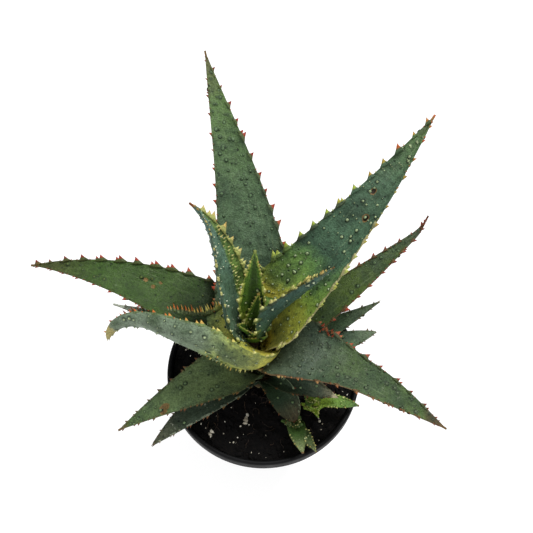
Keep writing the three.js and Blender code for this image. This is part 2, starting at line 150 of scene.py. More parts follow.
world = bpy.data.worlds.new("white_studio")
bpy.context.scene.world = world
world.use_nodes = True
world.node_tree.nodes["Background"].inputs["Color"].default_value = (1, 1, 1, 1)
world.node_tree.nodes["Background"].inputs["Strength"].default_value = 0.58


def add_sun(name, azimuth, height, disc, strength):
    """A sun lamp from an azimuth (0 right, 90 behind) and a height above level, all in degrees."""
    data = bpy.data.lights.new(name, "SUN")
    data.angle = math.radians(disc)
    data.energy = strength
    lamp = bpy.data.objects.new(name, data)
    lamp.rotation_euler = (math.radians(90 - height), 0, math.radians(azimuth + 90))
    bpy.context.scene.collection.objects.link(lamp)
    return lamp


add_sun("key_sun", 50, 58, 24, 3.1)
add_sun("fill_sun", 250, 50, 60, 0.5)

# %% [markdown]
# ## From a grid of points to a mesh
# Every surface here is a function of two parameters, worked out for a whole grid at once. The rows
# of the grid run along the piece, and its columns run round it and close on themselves. Each end
# is closed by a fan of triangles on one more point, so no piece has a hole or a seam.


def turns(count):
    """Equal steps once round a circle, in radians."""
    return np.arange(count) * 2 * np.pi / count


def polar(radius, angle, height):
    """Points at a radius and an angle round the upright axis, at a height."""
    return np.stack(np.broadcast_arrays(radius * np.cos(angle), radius * np.sin(angle), height), axis=-1)


def tube_faces(rows, around):
    """Quads between the rows of a closed tube, and the fans on its two end points, facing out."""
    i, j = np.meshgrid(np.arange(rows - 1), np.arange(around), indexing="ij")
    nearby = (j + 1) % around
    quads = np.stack([i * around + j, i * around + nearby,
                      (i + 1) * around + nearby, (i + 1) * around + j], axis=-1).reshape(-1, 4)
    ring = np.arange(around)
    following = (ring + 1) % around
    top, first = (rows - 1) * around, rows * around
    start = np.stack([following, ring, np.full(around, first)], axis=-1)
    end = np.stack([top + ring, top + following, np.full(around, first + 1)], axis=-1)
    return quads, np.concatenate([start, end])


def tube(grid):
    """One closed tube: its grid's points, then the middles of its first and last row, and its faces."""
    ends = np.stack([grid[0].mean(axis=0), grid[-1].mean(axis=0)])
    return (np.concatenate([grid.reshape(-1, 3), ends]), *tube_faces(*grid.shape[:2]), {})


def many_tubes(points, rows, around):
    """Equal closed tubes from their points, numbered by tube and point, with their faces."""
    quads, triangles = tube_faces(rows, around)
    shift = (np.arange(len(points)) * points.shape[1])[:, None, None]
    return points.reshape(-1, 3), (quads + shift).reshape(-1, 4), (triangles + shift).reshape(-1, 3), {}


def join(parts):
    """Several sets of points, faces and fields as one, each set's face numbers shifted along."""
    counts = np.cumsum([0] + [len(part[0]) for part in parts[:-1]])
    quads, triangles = (np.concatenate([part[kind] + count for part, count in zip(parts, counts)])
                        for kind in (1, 2))
    fields = {key: np.concatenate([part[3][key] for part in parts]) for key in parts[0][3]}
    return np.concatenate([part[0] for part in parts]), quads, triangles, fields


def add_piece(name, parts, material, node=None, like=None):
    """Makes an object of parts in millimetres, with the numbers that they hold at each point.

    It rides on the one body, stands for its node, and takes the material that it is given. A
    piece that stands for none but is like a node rides on the body as well.
    """
    points, quads, triangles, fields = join(parts)
    mesh = bpy.data.meshes.new(name)
    mesh.vertices.add(len(points))
    mesh.vertices.foreach_set("co", (points * MM).astype(np.float32).ravel())
    corners = np.concatenate([quads.ravel(), triangles.ravel()]).astype(np.int32)
    mesh.loops.add(len(corners))
    mesh.loops.foreach_set("vertex_index", corners)
    starts = np.concatenate([np.arange(len(quads)) * 4,
                             len(quads) * 4 + np.arange(len(triangles)) * 3]).astype(np.int32)
    mesh.polygons.add(len(starts))
    mesh.polygons.foreach_set("loop_start", starts)
    mesh.polygons.foreach_set("use_smooth", np.ones(len(starts), bool))
    mesh.update(calc_edges=True)
    mesh.validate()
    for key, values in fields.items():
        kind, slot = ("FLOAT_VECTOR", "vector") if values.ndim == 2 else ("FLOAT", "value")
        layer = mesh.attributes.new(key, kind, "POINT")
        layer.data.foreach_set(slot, values.astype(np.float32).ravel())
    mesh.materials.append(material)
    piece = bpy.data.objects.new(name, mesh)
    bpy.context.scene.collection.objects.link(piece)
    if node or like:
        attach(piece, "root")
    if node:
        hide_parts(node)
    print(f"{name}: {2 * len(quads) + len(triangles)} triangles")
    return piece


def waves(x, y, size, seed, count=14):
    """Gentle random relief from -1 to 1: a sum of sines in all directions, each about size long."""
    rng = np.random.default_rng(seed)
    turn = rng.uniform(0, 2 * np.pi, count)
    length = size * rng.uniform(0.7, 1.5, count)
    phase = rng.uniform(0, 2 * np.pi, count)
    total = np.zeros(np.shape(x))
    for a, b, c in zip(turn, length, phase):
        total = total + np.sin((x * np.cos(a) + y * np.sin(a)) * 2 * np.pi / b + c)
    return total / math.sqrt(count)


# %% [markdown]
# ## The measures of the leaves
# The leaves are the same as the model's: where each starts on the stem, which way it aims, how
# steeply it rises at its base, middle and tip, and how long, wide and thick it is. Angles are in
# degrees, lengths in millimetres. Lower leaves are older, duller and more battered.

# %% Stem and leaf measures
SOIL_TOP = 74
STEM_FOOT = np.array([-2.0, -5.0, SOIL_TOP])
STEM_TOP = np.array([-6.0, 7.0, 122.0])
BASE_RADIUS = 6.6
SHEATH_RISE = 82
SHEATH_WRAP = 78
BASE_NARROWING = 0.62
MIDRIB_STEPS = 240

USUAL_LEAF = dict(
    thickness=3, taper=1.1, point=1, waist=0, hook=0, plump=0, channel=20, roll=0, rollFrom=0.05,
    rollOver=0.3, sheathOpens=11, sheathLength=7, narrowLength=16, base=BASE_RADIUS, torn=0,
    teeth=(2, 9), prickles=6, bumps=30, crowd=1.15, boss_size=1, tooth_size=(1, 1),
    comb=(0, 0, 1, 0), fringe=None, scars=())
LEAVES = {
    "heart": dict(
        height=118, aim=(84, 84, 84), rise=(75, 68, 60), length=46, width=18, thickness=2.2, taper=2,
        channel=60, base=2.2, teeth=(1.8, 5), prickles=4, bumps=14, tooth_size=(1.7, 1.7)),
    "young_right": dict(
        height=115, aim=(16, 16, 20), rise=(55, 48, 38), length=58, width=32, thickness=2.6, taper=1.6,
        channel=40, base=4.2, sheathOpens=8, roll=60, rollFrom=0, rollOver=0.4, teeth=(2.4, 6),
        prickles=10, bumps=90, tooth_size=(1.7, 1.5)),
    "young_left": dict(
        height=114, aim=(165, 108, 165), rise=(68, 57, 44), length=79, width=30, thickness=2.8, taper=2,
        channel=45, base=4.6, sheathOpens=8, roll=-45, rollFrom=0, rollOver=0.4, teeth=(2.4, 6.5),
        prickles=14, bumps=150, tooth_size=(1.2, 1.9), fringe=(10, 62, 1.6, 0.45, 0, 2.6)),
    "arching": dict(
        height=106, aim=(236, 159, 222), rise=(10, 14, -76), length=91, width=63, thickness=3.6,
        taper=1.2, point=1.05, plump=8, channel=92, sheathOpens=12, roll=-60, rollFrom=0.02, rollOver=0.4,
        teeth=(3, 6.8), prickles=20, bumps=190, torn=0.05, tooth_size=(0.8, 0.9), comb=(22, 74, 1.9, 5),
        boss_size=1.3, fringe=(9, 31, 1.5, -0.45, 1, 2.4)),
    "right_back": dict(
        height=110, aim=(34, 43, 53), rise=(42, 31, 20), length=141, width=50, thickness=4.2, taper=1,
        channel=40, teeth=(3.2, 9), prickles=22, bumps=260, crowd=1.5, boss_size=1.15,
        tooth_size=(1.35, 0.9), scars=[(0.66, -0.25, 1.2), (0.57, 0.3, 1.4)]),
    "back": dict(
        height=104, aim=(88, 104, 104), rise=(38, 30, 22), length=154, width=50, thickness=4.4, taper=1,
        channel=22, teeth=(3, 9.5), prickles=22, bumps=200, crowd=1.4, boss_size=1.35,
        tooth_size=(0.75, 1.15)),
    "right_front": dict(
        height=101, aim=(-16, -28, -26), rise=(28, -2, -26), length=106, width=46, thickness=4.4, taper=1,
        waist=0.14, channel=22, teeth=(3, 9), prickles=20, bumps=200, crowd=1.6, boss_size=1.1,
        tooth_size=(1.05, 0.75), fringe=(29, 36, 0.6, -0.84, 0, 3.6)),
    "left": dict(
        height=100, aim=(154, 163, 168), rise=(38, 9, -20), length=130, width=44, thickness=4.2,
        channel=22, teeth=(3.2, 9), prickles=18, bumps=30, tooth_size=(0.85, 1.35),
        scars=[(0.5, 0.3, 0.9), (0.46, 0.1, 0.8), (0.44, 0.35, 0.7)]),
    "right": dict(
        height=96, aim=(26, 36, 40), rise=(15, 10, 5), length=118, width=31, thickness=4, taper=1,
        channel=25, hook=34, teeth=(2.6, 9), prickles=14, bumps=60),
    "left_front": dict(
        height=88, aim=(209, 208, 207), rise=(12, -4, -20), length=79, width=36, thickness=3.8,
        teeth=(2.4, 8), prickles=12, bumps=44, scars=[(0.66, -0.3, 1.6), (0.68, -0.7, 1.2)]),
    "left_under": dict(
        height=86, aim=(155, 157, 159), rise=(5, -2, -10), length=87, width=24, thickness=3.2,
        teeth=(2, 10), bumps=10),
    "right_low_back": dict(
        height=86, aim=(22, 28, 35), rise=(5, -2, -10), length=77, width=24, thickness=3.2, teeth=(2, 9),
        bumps=10, torn=0.06),
    "right_low": dict(
        height=84, aim=(10, 16, 22), rise=(5, -1, -8), length=66, width=15, thickness=3, taper=4,
        teeth=(2, 9), prickles=5, bumps=8, torn=0.04),
    "left_low": dict(
        height=80, aim=(215, 218, 221), rise=(10, -2, -15), length=68, width=21, thickness=3, taper=2,
        teeth=(2, 9), bumps=12, torn=0.06),
    "front_right_low": dict(
        height=80, aim=(-26, -22, -18), rise=(5, -1, -8), length=43, width=20, thickness=3, taper=2,
        teeth=(1.8, 8), prickles=3, bumps=8, torn=0.12),
    "front_low": dict(
        height=80, aim=(-50, -58, -66), rise=(5, -7, -20), length=33, width=16, thickness=3, taper=6,
        teeth=(1.8, 8), prickles=5, bumps=6, torn=0.06),
}


def stem_centre(height):
    """Where the stem's axis is at a height: a straight line from its foot to its top."""
    share = np.clip((height - STEM_FOOT[2]) / (STEM_TOP[2] - STEM_FOOT[2]), 0, 1.2)
    centre = STEM_FOOT + (STEM_TOP - STEM_FOOT) * np.asarray(share)[..., None]
    centre[..., 2] = height
    return centre


# %% [markdown]
# ## The shape of a leaf
# An aloe leaf is a thick blade that clasps the stem, opens out into a channel and narrows to a
# point. It could be sculpted by hand, or cut from a plane. Here it is a formula, because all the
# leaves share one plan and only their measures differ. A midrib is walked step by step from the
# rise and the aim. Across it lies an arc, and the lower face lies under that arc by the thickness.

# %% Leaf formulas
HOOK_FROM = 0.86
WAIST_PLACE, WAIST_LENGTH = 0.5, 0.16
PLUMP_PLACE, PLUMP_LENGTH = 0.15, 0.13
THINNEST = 0.9
NARROWEST = 0.5


def smoothstep(x):
    """3x^2 - 2x^3 between 0 and 1, and flat outside."""
    x = np.clip(x, 0, 1)
    return x * x * (3 - 2 * x)


def through(values, t):
    """The curve through three values at 0, a half and 1."""
    start, middle, end = values
    return start * (1 - t) * (1 - 2 * t) + middle * 4 * t * (1 - t) + end * t * (2 * t - 1)


def add_midrib(leaf):
    """Adds the midrib's points and its directions along, side and up, each 241 by 3."""
    t = np.linspace(0, 1, MIDRIB_STEPS + 1)
    upright = np.exp(-t * leaf["length"] / leaf["sheathLength"])
    hook = leaf["hook"] * smoothstep((t - HOOK_FROM) / (1 - HOOK_FROM))
    rise = np.radians(through(leaf["rise"], t) + (SHEATH_RISE - leaf["rise"][0]) * upright + hook)
    aim = np.radians(through(leaf["aim"], t) + hook / 2)
    along = np.stack([np.cos(rise) * np.cos(aim), np.cos(rise) * np.sin(aim), np.sin(rise)], -1)
    level = np.stack([np.sin(aim), -np.cos(aim), np.zeros_like(aim)], -1)
    roll = np.radians(leaf["roll"] * smoothstep((t - leaf["rollFrom"]) / leaf["rollOver"]))[:, None]
    side = level * np.cos(roll) + np.cross(level, along) * np.sin(roll)
    step = leaf["length"] / MIDRIB_STEPS
    walked = np.cumsum((along[1:] + along[:-1]) / 2 * step, axis=0)
    point = leaf["start"] + np.concatenate([np.zeros((1, 3)), walked])
    leaf["midrib"] = dict(point=point, along=along, side=side, up=np.cross(side, along))


def on_midrib(leaf, key, t):
    """A point or a direction of the midrib at any array of t, by straight steps between frames."""
    places = np.linspace(0, 1, MIDRIB_STEPS + 1)
    values = leaf["midrib"][key]
    return np.stack([np.interp(t, places, values[:, axis]) for axis in range(3)], axis=-1)


def half_width(leaf, t):
    """Half the blade's width: it falls to the tip by a power, and narrows at the waist and the base."""
    outline = np.clip(1 - t ** leaf["taper"], 0, 1) ** leaf["point"]
    waist = 1 - leaf["waist"] * np.exp(-(((t - WAIST_PLACE) / WAIST_LENGTH) ** 2))
    reach = smoothstep(t * leaf["length"] / leaf["narrowLength"])
    narrowed = BASE_NARROWING + (1 - BASE_NARROWING) * reach
    return np.maximum(leaf["width"] / 2 * outline * waist * narrowed, NARROWEST)


def curl_angle(leaf, t):
    """How far each half of the blade curls up, in radians: most at the sheath, less to the tip."""
    blade = leaf["channel"] * (1 - 0.3 * t)
    sheath = np.exp(-t * leaf["length"] / leaf["sheathOpens"])
    return np.radians(blade + (SHEATH_WRAP - blade) * sheath)


def thickness_at(leaf, t, v):
    """Flesh between the faces: most at the midrib and the base, with a rounded margin."""
    middle = THINNEST + (leaf["thickness"] - THINNEST) * np.clip(1 - t, 0, 1) ** 0.7
    return middle * np.clip(1 - np.abs(v) ** 2.4, 0, 1) ** 0.7


def blade_point(leaf, t, v, face, proud=0.0):
    """A point of the blade at t along, v across (-1 left, 1 right) and face (0 upper, 1 lower).

    The section is an arc of radius half/curl. The lower face is the same arc, larger by the
    thickness. A plump base lifts the upper face, and proud lifts a point off its own face.
    """
    half = half_width(leaf, t)
    curl = curl_angle(leaf, t)
    radius = half / curl
    angle = v * curl
    plump = leaf["plump"] * np.exp(-(((t - PLUMP_PLACE) / PLUMP_LENGTH) ** 2)) * (1 - v * v)
    sink = face * thickness_at(leaf, t, v) + (2 * face - 1) * proud - (1 - face) * plump
    across = ((radius + sink) * np.sin(angle))[..., None]
    lift = (radius - (radius + sink) * np.cos(angle))[..., None]
    place = on_midrib(leaf, "point", t)
    return place + on_midrib(leaf, "side", t) * across + on_midrib(leaf, "up", t) * lift


# %% [markdown]
# ## Teeth and tubercles
# The margins carry curved teeth with a broad foot, and both faces carry tubercles: round bosses
# that end in a short prickle, from which the plant has its cone-like look. There are well over a
# thousand, so each has only a few dozen faces. One formula makes them all: rings that shrink from
# a wide foot to a point while their middle bends over towards the leaf's tip.

# %% Spine formulas
SPINE_AROUND = 8
SPINE_FORMS = {    # the heights of the rings, as shares of the length, and how far each is swollen
    "tooth": np.array([[0, 0.16, 0.32, 0.52, 0.78, 0.97], [2.6, 2.1, 1.5, 0.92, 0.42, 0.08]]),
    "boss": np.array([[0, 0.16, 0.36, 0.56, 0.74, 0.96], [1.7, 1.4, 1.0, 0.56, 0.22, 0.06]])}
THIN_FOOT = 1.1
FIELDS = ("along", "across", "face", "halo", "scar", "tooth", "boss", "chance")
FACE_APART = 40    # mm between the two faces' streaks, so that they don't match


def unit(vectors):
    """The same directions, each with a length of one."""
    return vectors / np.linalg.norm(vectors, axis=-1, keepdims=True)


def face_out(leaf, t, v, face):
    """The direction straight out of a face: from the other face's point to this one's."""
    return unit(blade_point(leaf, t, v, face) - blade_point(leaf, t, v, 1 - face))


def all_fields(count, **known):
    """Every field of some points: zero, except those that are known."""
    return {**{key: np.zeros(count) for key in FIELDS}, **known}


def spines(leaf, kind, places, out, size, sunk, wide, deep, bend, seed):
    """Many spines at once, standing out from their places on a leaf (arrays of t, v and face).

    Ring k of each is an oval, wide along the leaf and deep across it. Its centre is the root, plus
    out times the ring's height, plus along times bend times the height squared, so that the point
    leans over. The root is sunk into the flesh.
    """
    t, v, face = places
    rings, swell = SPINE_FORMS[kind]
    length = size + sunk
    roots = blade_point(leaf, t, v, face) - out * sunk
    cross = unit(np.cross(out, on_midrib(leaf, "along", t)))
    flat = np.cross(cross, out)
    angle = turns(SPINE_AROUND)
    up = rings[None, :, None, None] * length[:, None, None, None]
    lean = (rings ** 2)[None, :, None, None] * (length * bend)[:, None, None, None]
    ring_wide = (swell * wide[:, None])[:, :, None, None] * np.cos(angle)[:, None]
    # The foot is drawn out along the margin only: across it, it is no thicker than the blade.
    ring_deep = (np.minimum(swell, THIN_FOOT) * deep[:, None])[:, :, None, None] * np.sin(angle)[:, None]
    grid = (roots[:, None, None] + out[:, None, None] * up + flat[:, None, None] * (lean + ring_wide)
            + cross[:, None, None] * ring_deep)
    tips = roots + out * length[:, None] + flat * (length * bend)[:, None]
    points = np.concatenate([grid.reshape(len(roots), -1, 3), roots[:, None], tips[:, None]], axis=1)
    heights = np.concatenate([np.repeat(rings, SPINE_AROUND), [0, 1]])
    skin = np.stack([v * half_width(leaf, t), t * leaf["length"], face * FACE_APART], axis=-1) * MM
    known = dict(along=t, across=v, face=face, skin=skin,
                 chance=np.random.default_rng(seed).random(len(t)))
    known = {key: np.repeat(values, len(heights), axis=0) for key, values in known.items()}
    # A spine's own field is above zero even at its foot, so that the paint can tell it from skin.
    known[kind] = 0.02 + 0.98 * np.tile(heights, len(t))
    # The columns run round flat to cross, against the clock seen from the point, so faces point out.
    made = many_tubes(points, len(rings), SPINE_AROUND)
    return (*made[:3], all_fields(len(made[0]), **known))


# %% Where the spines stand
# Multiples of such a step, each less its whole part, fill a range evenly and without a pattern.
GOLDEN_STEP = 0.618034
PLASTIC_STEP = 0.754878
EVEN_STEPS = (0.7548777, 0.5698403)
TWIN_CHANCE = 0.4
SMALL_CHANCE = 0.5
LAST_TOOTH = 0.985


def repeatable(seed):
    """The model's own repeatable numbers from 0 to 1 (a linear congruential generator)."""
    state = seed
    while True:
        state = (state * 1664525 + 1013904223) % 4294967296
        yield state / 4294967296


def tooth_places(leaf, seed):
    """Places down both margins as rows of t, v, size and breadth: the model's own teeth, twins beside
    them and small ones between. A comb is a close row of tall, slim teeth on the right margin.
    """
    long, spacing = leaf["teeth"]
    draw = repeatable(seed)
    twin = np.random.default_rng(seed)
    found = []
    for v in (-1, 1):
        s = (8 + 4 * next(draw)) * min(1, (leaf["length"] / 15) ** 2)
        while s < leaf["length"] - 3:
            t = s / leaf["length"]
            size = long * (1.05 - 0.55 * t) * (0.85 + 0.3 * next(draw))
            size *= leaf["tooth_size"][int(v > 0)] * twin.uniform(0.75, 1.25)
            found.append((t, v, size, 1))
            if twin.random() < TWIN_CHANCE:
                found.append((t + twin.uniform(1.6, 2.4) / leaf["length"], v, size * 0.7, 1))
            for part in (0.35, 0.7):
                if twin.random() < SMALL_CHANCE:
                    found.append((t + spacing * part / leaf["length"], v, size * 0.26, 1))
            s += spacing * (0.85 + 0.3 * next(draw))
    for s in np.arange(*leaf["comb"][:3]):
        found.append(((s + twin.uniform(-0.4, 0.4)) / leaf["length"], 1,
                      leaf["comb"][3] * twin.uniform(0.75, 1.1), 0.45))
    places = np.array(found).reshape(-1, 4)
    return places[places[:, 0] < LAST_TOOTH]


def boss_places(leaf, seed):
    """Rows of t, v, face, height and radius: the model's prickles, then smaller bosses between them."""
    i = np.arange(leaf["prickles"])
    t = 0.12 + 0.74 * ((GOLDEN_STEP * i + 0.3) % 1)
    v = 0.8 * (2 * ((PLASTIC_STEP * i + 0.2) % 1) - 1)
    main = np.stack([t, v, i % 2, np.full(len(i), 1.3), np.full(len(i), 0.85)], axis=-1)
    rng = np.random.default_rng(seed)
    n = leaf["bumps"]
    k = np.arange(n)
    t = 0.08 + 0.84 * ((EVEN_STEPS[0] * k + rng.random()) % 1) ** leaf["crowd"]
    v = 0.88 * (2 * ((EVEN_STEPS[1] * k + rng.random()) % 1) - 1)
    height = leaf["boss_size"] * (0.35 + 0.75 * rng.random(n) ** 1.3)
    radius = leaf["boss_size"] * (0.28 + 0.47 * rng.random(n) ** 1.3)
    return np.concatenate([main, np.stack([t, v, k % 2, height, radius], axis=-1)])


# %% Put the spines on a leaf
TOOTH_ROOT = 0.9
TOOTH_LEAN = 0.35
BOSS_ROOT = 0.3
FRINGE_ROOT = 0.5
FRINGE_LEAN = 0.7


def bosses_on(leaf, bosses, seed):
    """Round bosses with a short prickle, square to the face that they stand on."""
    t, v, face, height, radius = bosses.T
    out = face_out(leaf, t, v, face)
    return spines(leaf, "boss", (t, v, face), out, height, BOSS_ROOT, radius, radius, 0.22, seed + 7)


def teeth_on(leaf, teeth, seed):
    """Curved teeth down both margins, pointing out and a little towards the leaf's tip."""
    t, v, size, breadth = teeth.T
    curl = curl_angle(leaf, t)[:, None]
    along, side, up = (on_midrib(leaf, key, t) for key in ("along", "side", "up"))
    out = unit(side * v[:, None] * np.cos(curl) + up * np.sin(curl) + along * TOOTH_LEAN)
    wide = np.clip(size * 0.42, 0.3, 1.3) * breadth
    deep = np.clip(size * 0.27, 0.35, 0.9)
    places = (t, v, np.zeros(len(t)))
    return spines(leaf, "tooth", places, out, size, TOOTH_ROOT, wide, deep, 0.28, seed + 9)


def fringe_on(leaf, seed):
    """Curved soft prickles in a row on one face, leaning out to the nearer margin."""
    begin, end, step, v, face, tall = leaf["fringe"]
    rng = np.random.default_rng(seed)
    t = np.arange(begin, end, step) / leaf["length"]
    v = v + rng.uniform(-0.13, 0.13, len(t))
    face = np.full(len(t), float(face))
    lean = FRINGE_LEAN * np.sign(v)[:, None] * on_midrib(leaf, "side", t)
    out = unit(face_out(leaf, t, v, face) + lean)
    size = tall * rng.uniform(0.6, 1.1, len(t))
    return spines(leaf, "tooth", (t, v, face), out, size, FRINGE_ROOT, size * 0.2, size * 0.16,
                  0.35, seed + 11)


# %% [markdown]
# ## One leaf, grown
# The blade's grid is closed round both faces. Its skin is lifted a little by long waves, by fine
# lengthwise ribs and by a low swelling under each boss. Where an old leaf has dried and torn, each
# part of its width ends at a different length. Then its spines are joined to it. Every point
# remembers how far along and across it lies, because the skin's paint follows the leaf.

# %% Grow a leaf
ROW_STEP = 0.62
COLUMN_STEP = 1.0
HALO_REACH = 1.7


def ragged_end(leaf, t, v, seed):
    """A torn leaf's t: its last part ends sooner or later by a slow and a quick wave across it."""
    ragged = 0.5 + 0.5 * np.sin(v * 5 + seed) * np.cos(v * 13 + 2 * seed)
    return t * (1 - leaf["torn"] * ragged * smoothstep((t - 0.85) / 0.15))


def grow(row, start, seed, fine=1.0):
    """All points, faces and point fields of a leaf: its blade, its bosses and its teeth."""
    leaf = {**USUAL_LEAF, **row, "start": start}
    add_midrib(leaf)
    rows = int(leaf["length"] / (ROW_STEP * fine)) + 16
    around = 4 * max(6, int(2 * leaf["width"] / (COLUMN_STEP * fine) / 4))
    u = np.linspace(0, 1, rows)
    t, theta = np.meshgrid(u + 0.03 * np.sin(np.pi * u) * u, turns(around), indexing="ij")
    v = -np.cos(theta)
    face = (theta > np.pi).astype(float)
    if leaf["torn"]:
        t = ragged_end(leaf, t, v, seed)
    x = v * half_width(leaf, t)
    y = t * leaf["length"]
    bosses = boss_places(leaf, seed + 500)
    # Round each boss a field both swells the skin and tells the paint where to lay a painted shadow.
    halo = np.zeros_like(x)
    for bt, bv, bf, height, radius in bosses:
        bx = bv * half_width(leaf, bt)
        apart = ((x - bx) ** 2 + (y - bt * leaf["length"]) ** 2) / (HALO_REACH * radius) ** 2
        halo = np.maximum(halo, np.exp(-apart) * (face == bf) * min(1, height))
    scar = np.zeros_like(x)
    for st, sv, radius in leaf["scars"]:
        apart = np.hypot(x - sv * half_width(leaf, st), (y - st * leaf["length"]) * 0.75) / radius
        scar = np.maximum(scar, np.clip(1.6 - apart, 0, 1) * (face == 0))
    # Waves of 26 and 7 mm, ribs of 2.6 mm, a swelling under each boss and a dent at each scar.
    proud = (0.28 * waves(x, y, 26, seed) + 0.1 * waves(x, y, 7, seed + 1)
             + 0.05 * waves(x, y * 0.12, 2.6, seed + 2) + 0.35 * halo - 0.7 * scar)
    grid = blade_point(leaf, t, v, face, proud * (1 - np.abs(v) ** 8) * smoothstep(y / 14))

    def with_ends(values, last=0):
        return np.append(values.ravel(), [0, last])

    skin = np.stack([with_ends(x), with_ends(y, leaf["length"]), with_ends(face * FACE_APART)], -1) * MM
    blade = (*tube(grid)[:3], all_fields(
        len(skin), along=with_ends(t, 1), across=with_ends(v), face=with_ends(face),
        halo=with_ends(halo), scar=with_ends(scar), skin=skin))
    parts = [blade, bosses_on(leaf, bosses, seed)]
    teeth = tooth_places(leaf, seed)
    if len(teeth):
        parts.append(teeth_on(leaf, teeth, seed))
    if leaf["fringe"]:
        parts.append(fringe_on(leaf, seed))
    return join(parts)


# %% [markdown]
# ## The skin of a leaf
# An aloe's skin is a smooth waxy cuticle over green flesh. It isn't shiny: the wax spreads each
# highlight wide, so the roughness is in the middle of the range, and the index of refraction is
# that of wax, 1.45. Its colour runs from yellow-green in the shade of the sheath to blue-grey and
# olive, with darker patches a centimetre or two long, fine pores and lengthwise streaks. Teeth
# start leaf-green and end cream, orange or red. A shadow is painted round each tubercle's foot.
# Its top is pale, partly by its own colour and partly by a painted highlight.

# %% Leaf skin material
USUAL_LOOK = dict(
    run=[(0.0, "#6f7f33"), (0.18, "#4a6234"), (0.5, "#3c5432"), (0.85, "#40592c"), (1.0, "#5d5030")],
    under="#465c40", under_share=0.35, under_from=-1.0, lit_flank="#465c40", lit_flank_share=0.0,
    left_half="#4a6450", left_share=0.0, left_until=2.0, left_edge=0.0,
    channel="#22390f", channel_shade_share=0.0,
    patch="#26392c", patch_share=0.6, fleck="#8c9b80", fleck_share=0.15,
    rim_left="#4d4526", rim_left_share=0.35, rim_right="#4d4526", rim_right_share=0.35, rim_until=1.0,
    teeth=[(0.0, "#a97a34"), (0.35, "#a93a1e"), (1.0, "#7f2414")], teeth_left=None,
    tip_share=0.6, boss_foot_shade="#1c2a1c", boss_top_pale_and_lit="#708860", dry="#6b5430", dry_from=0.975, scar_core=0.9)


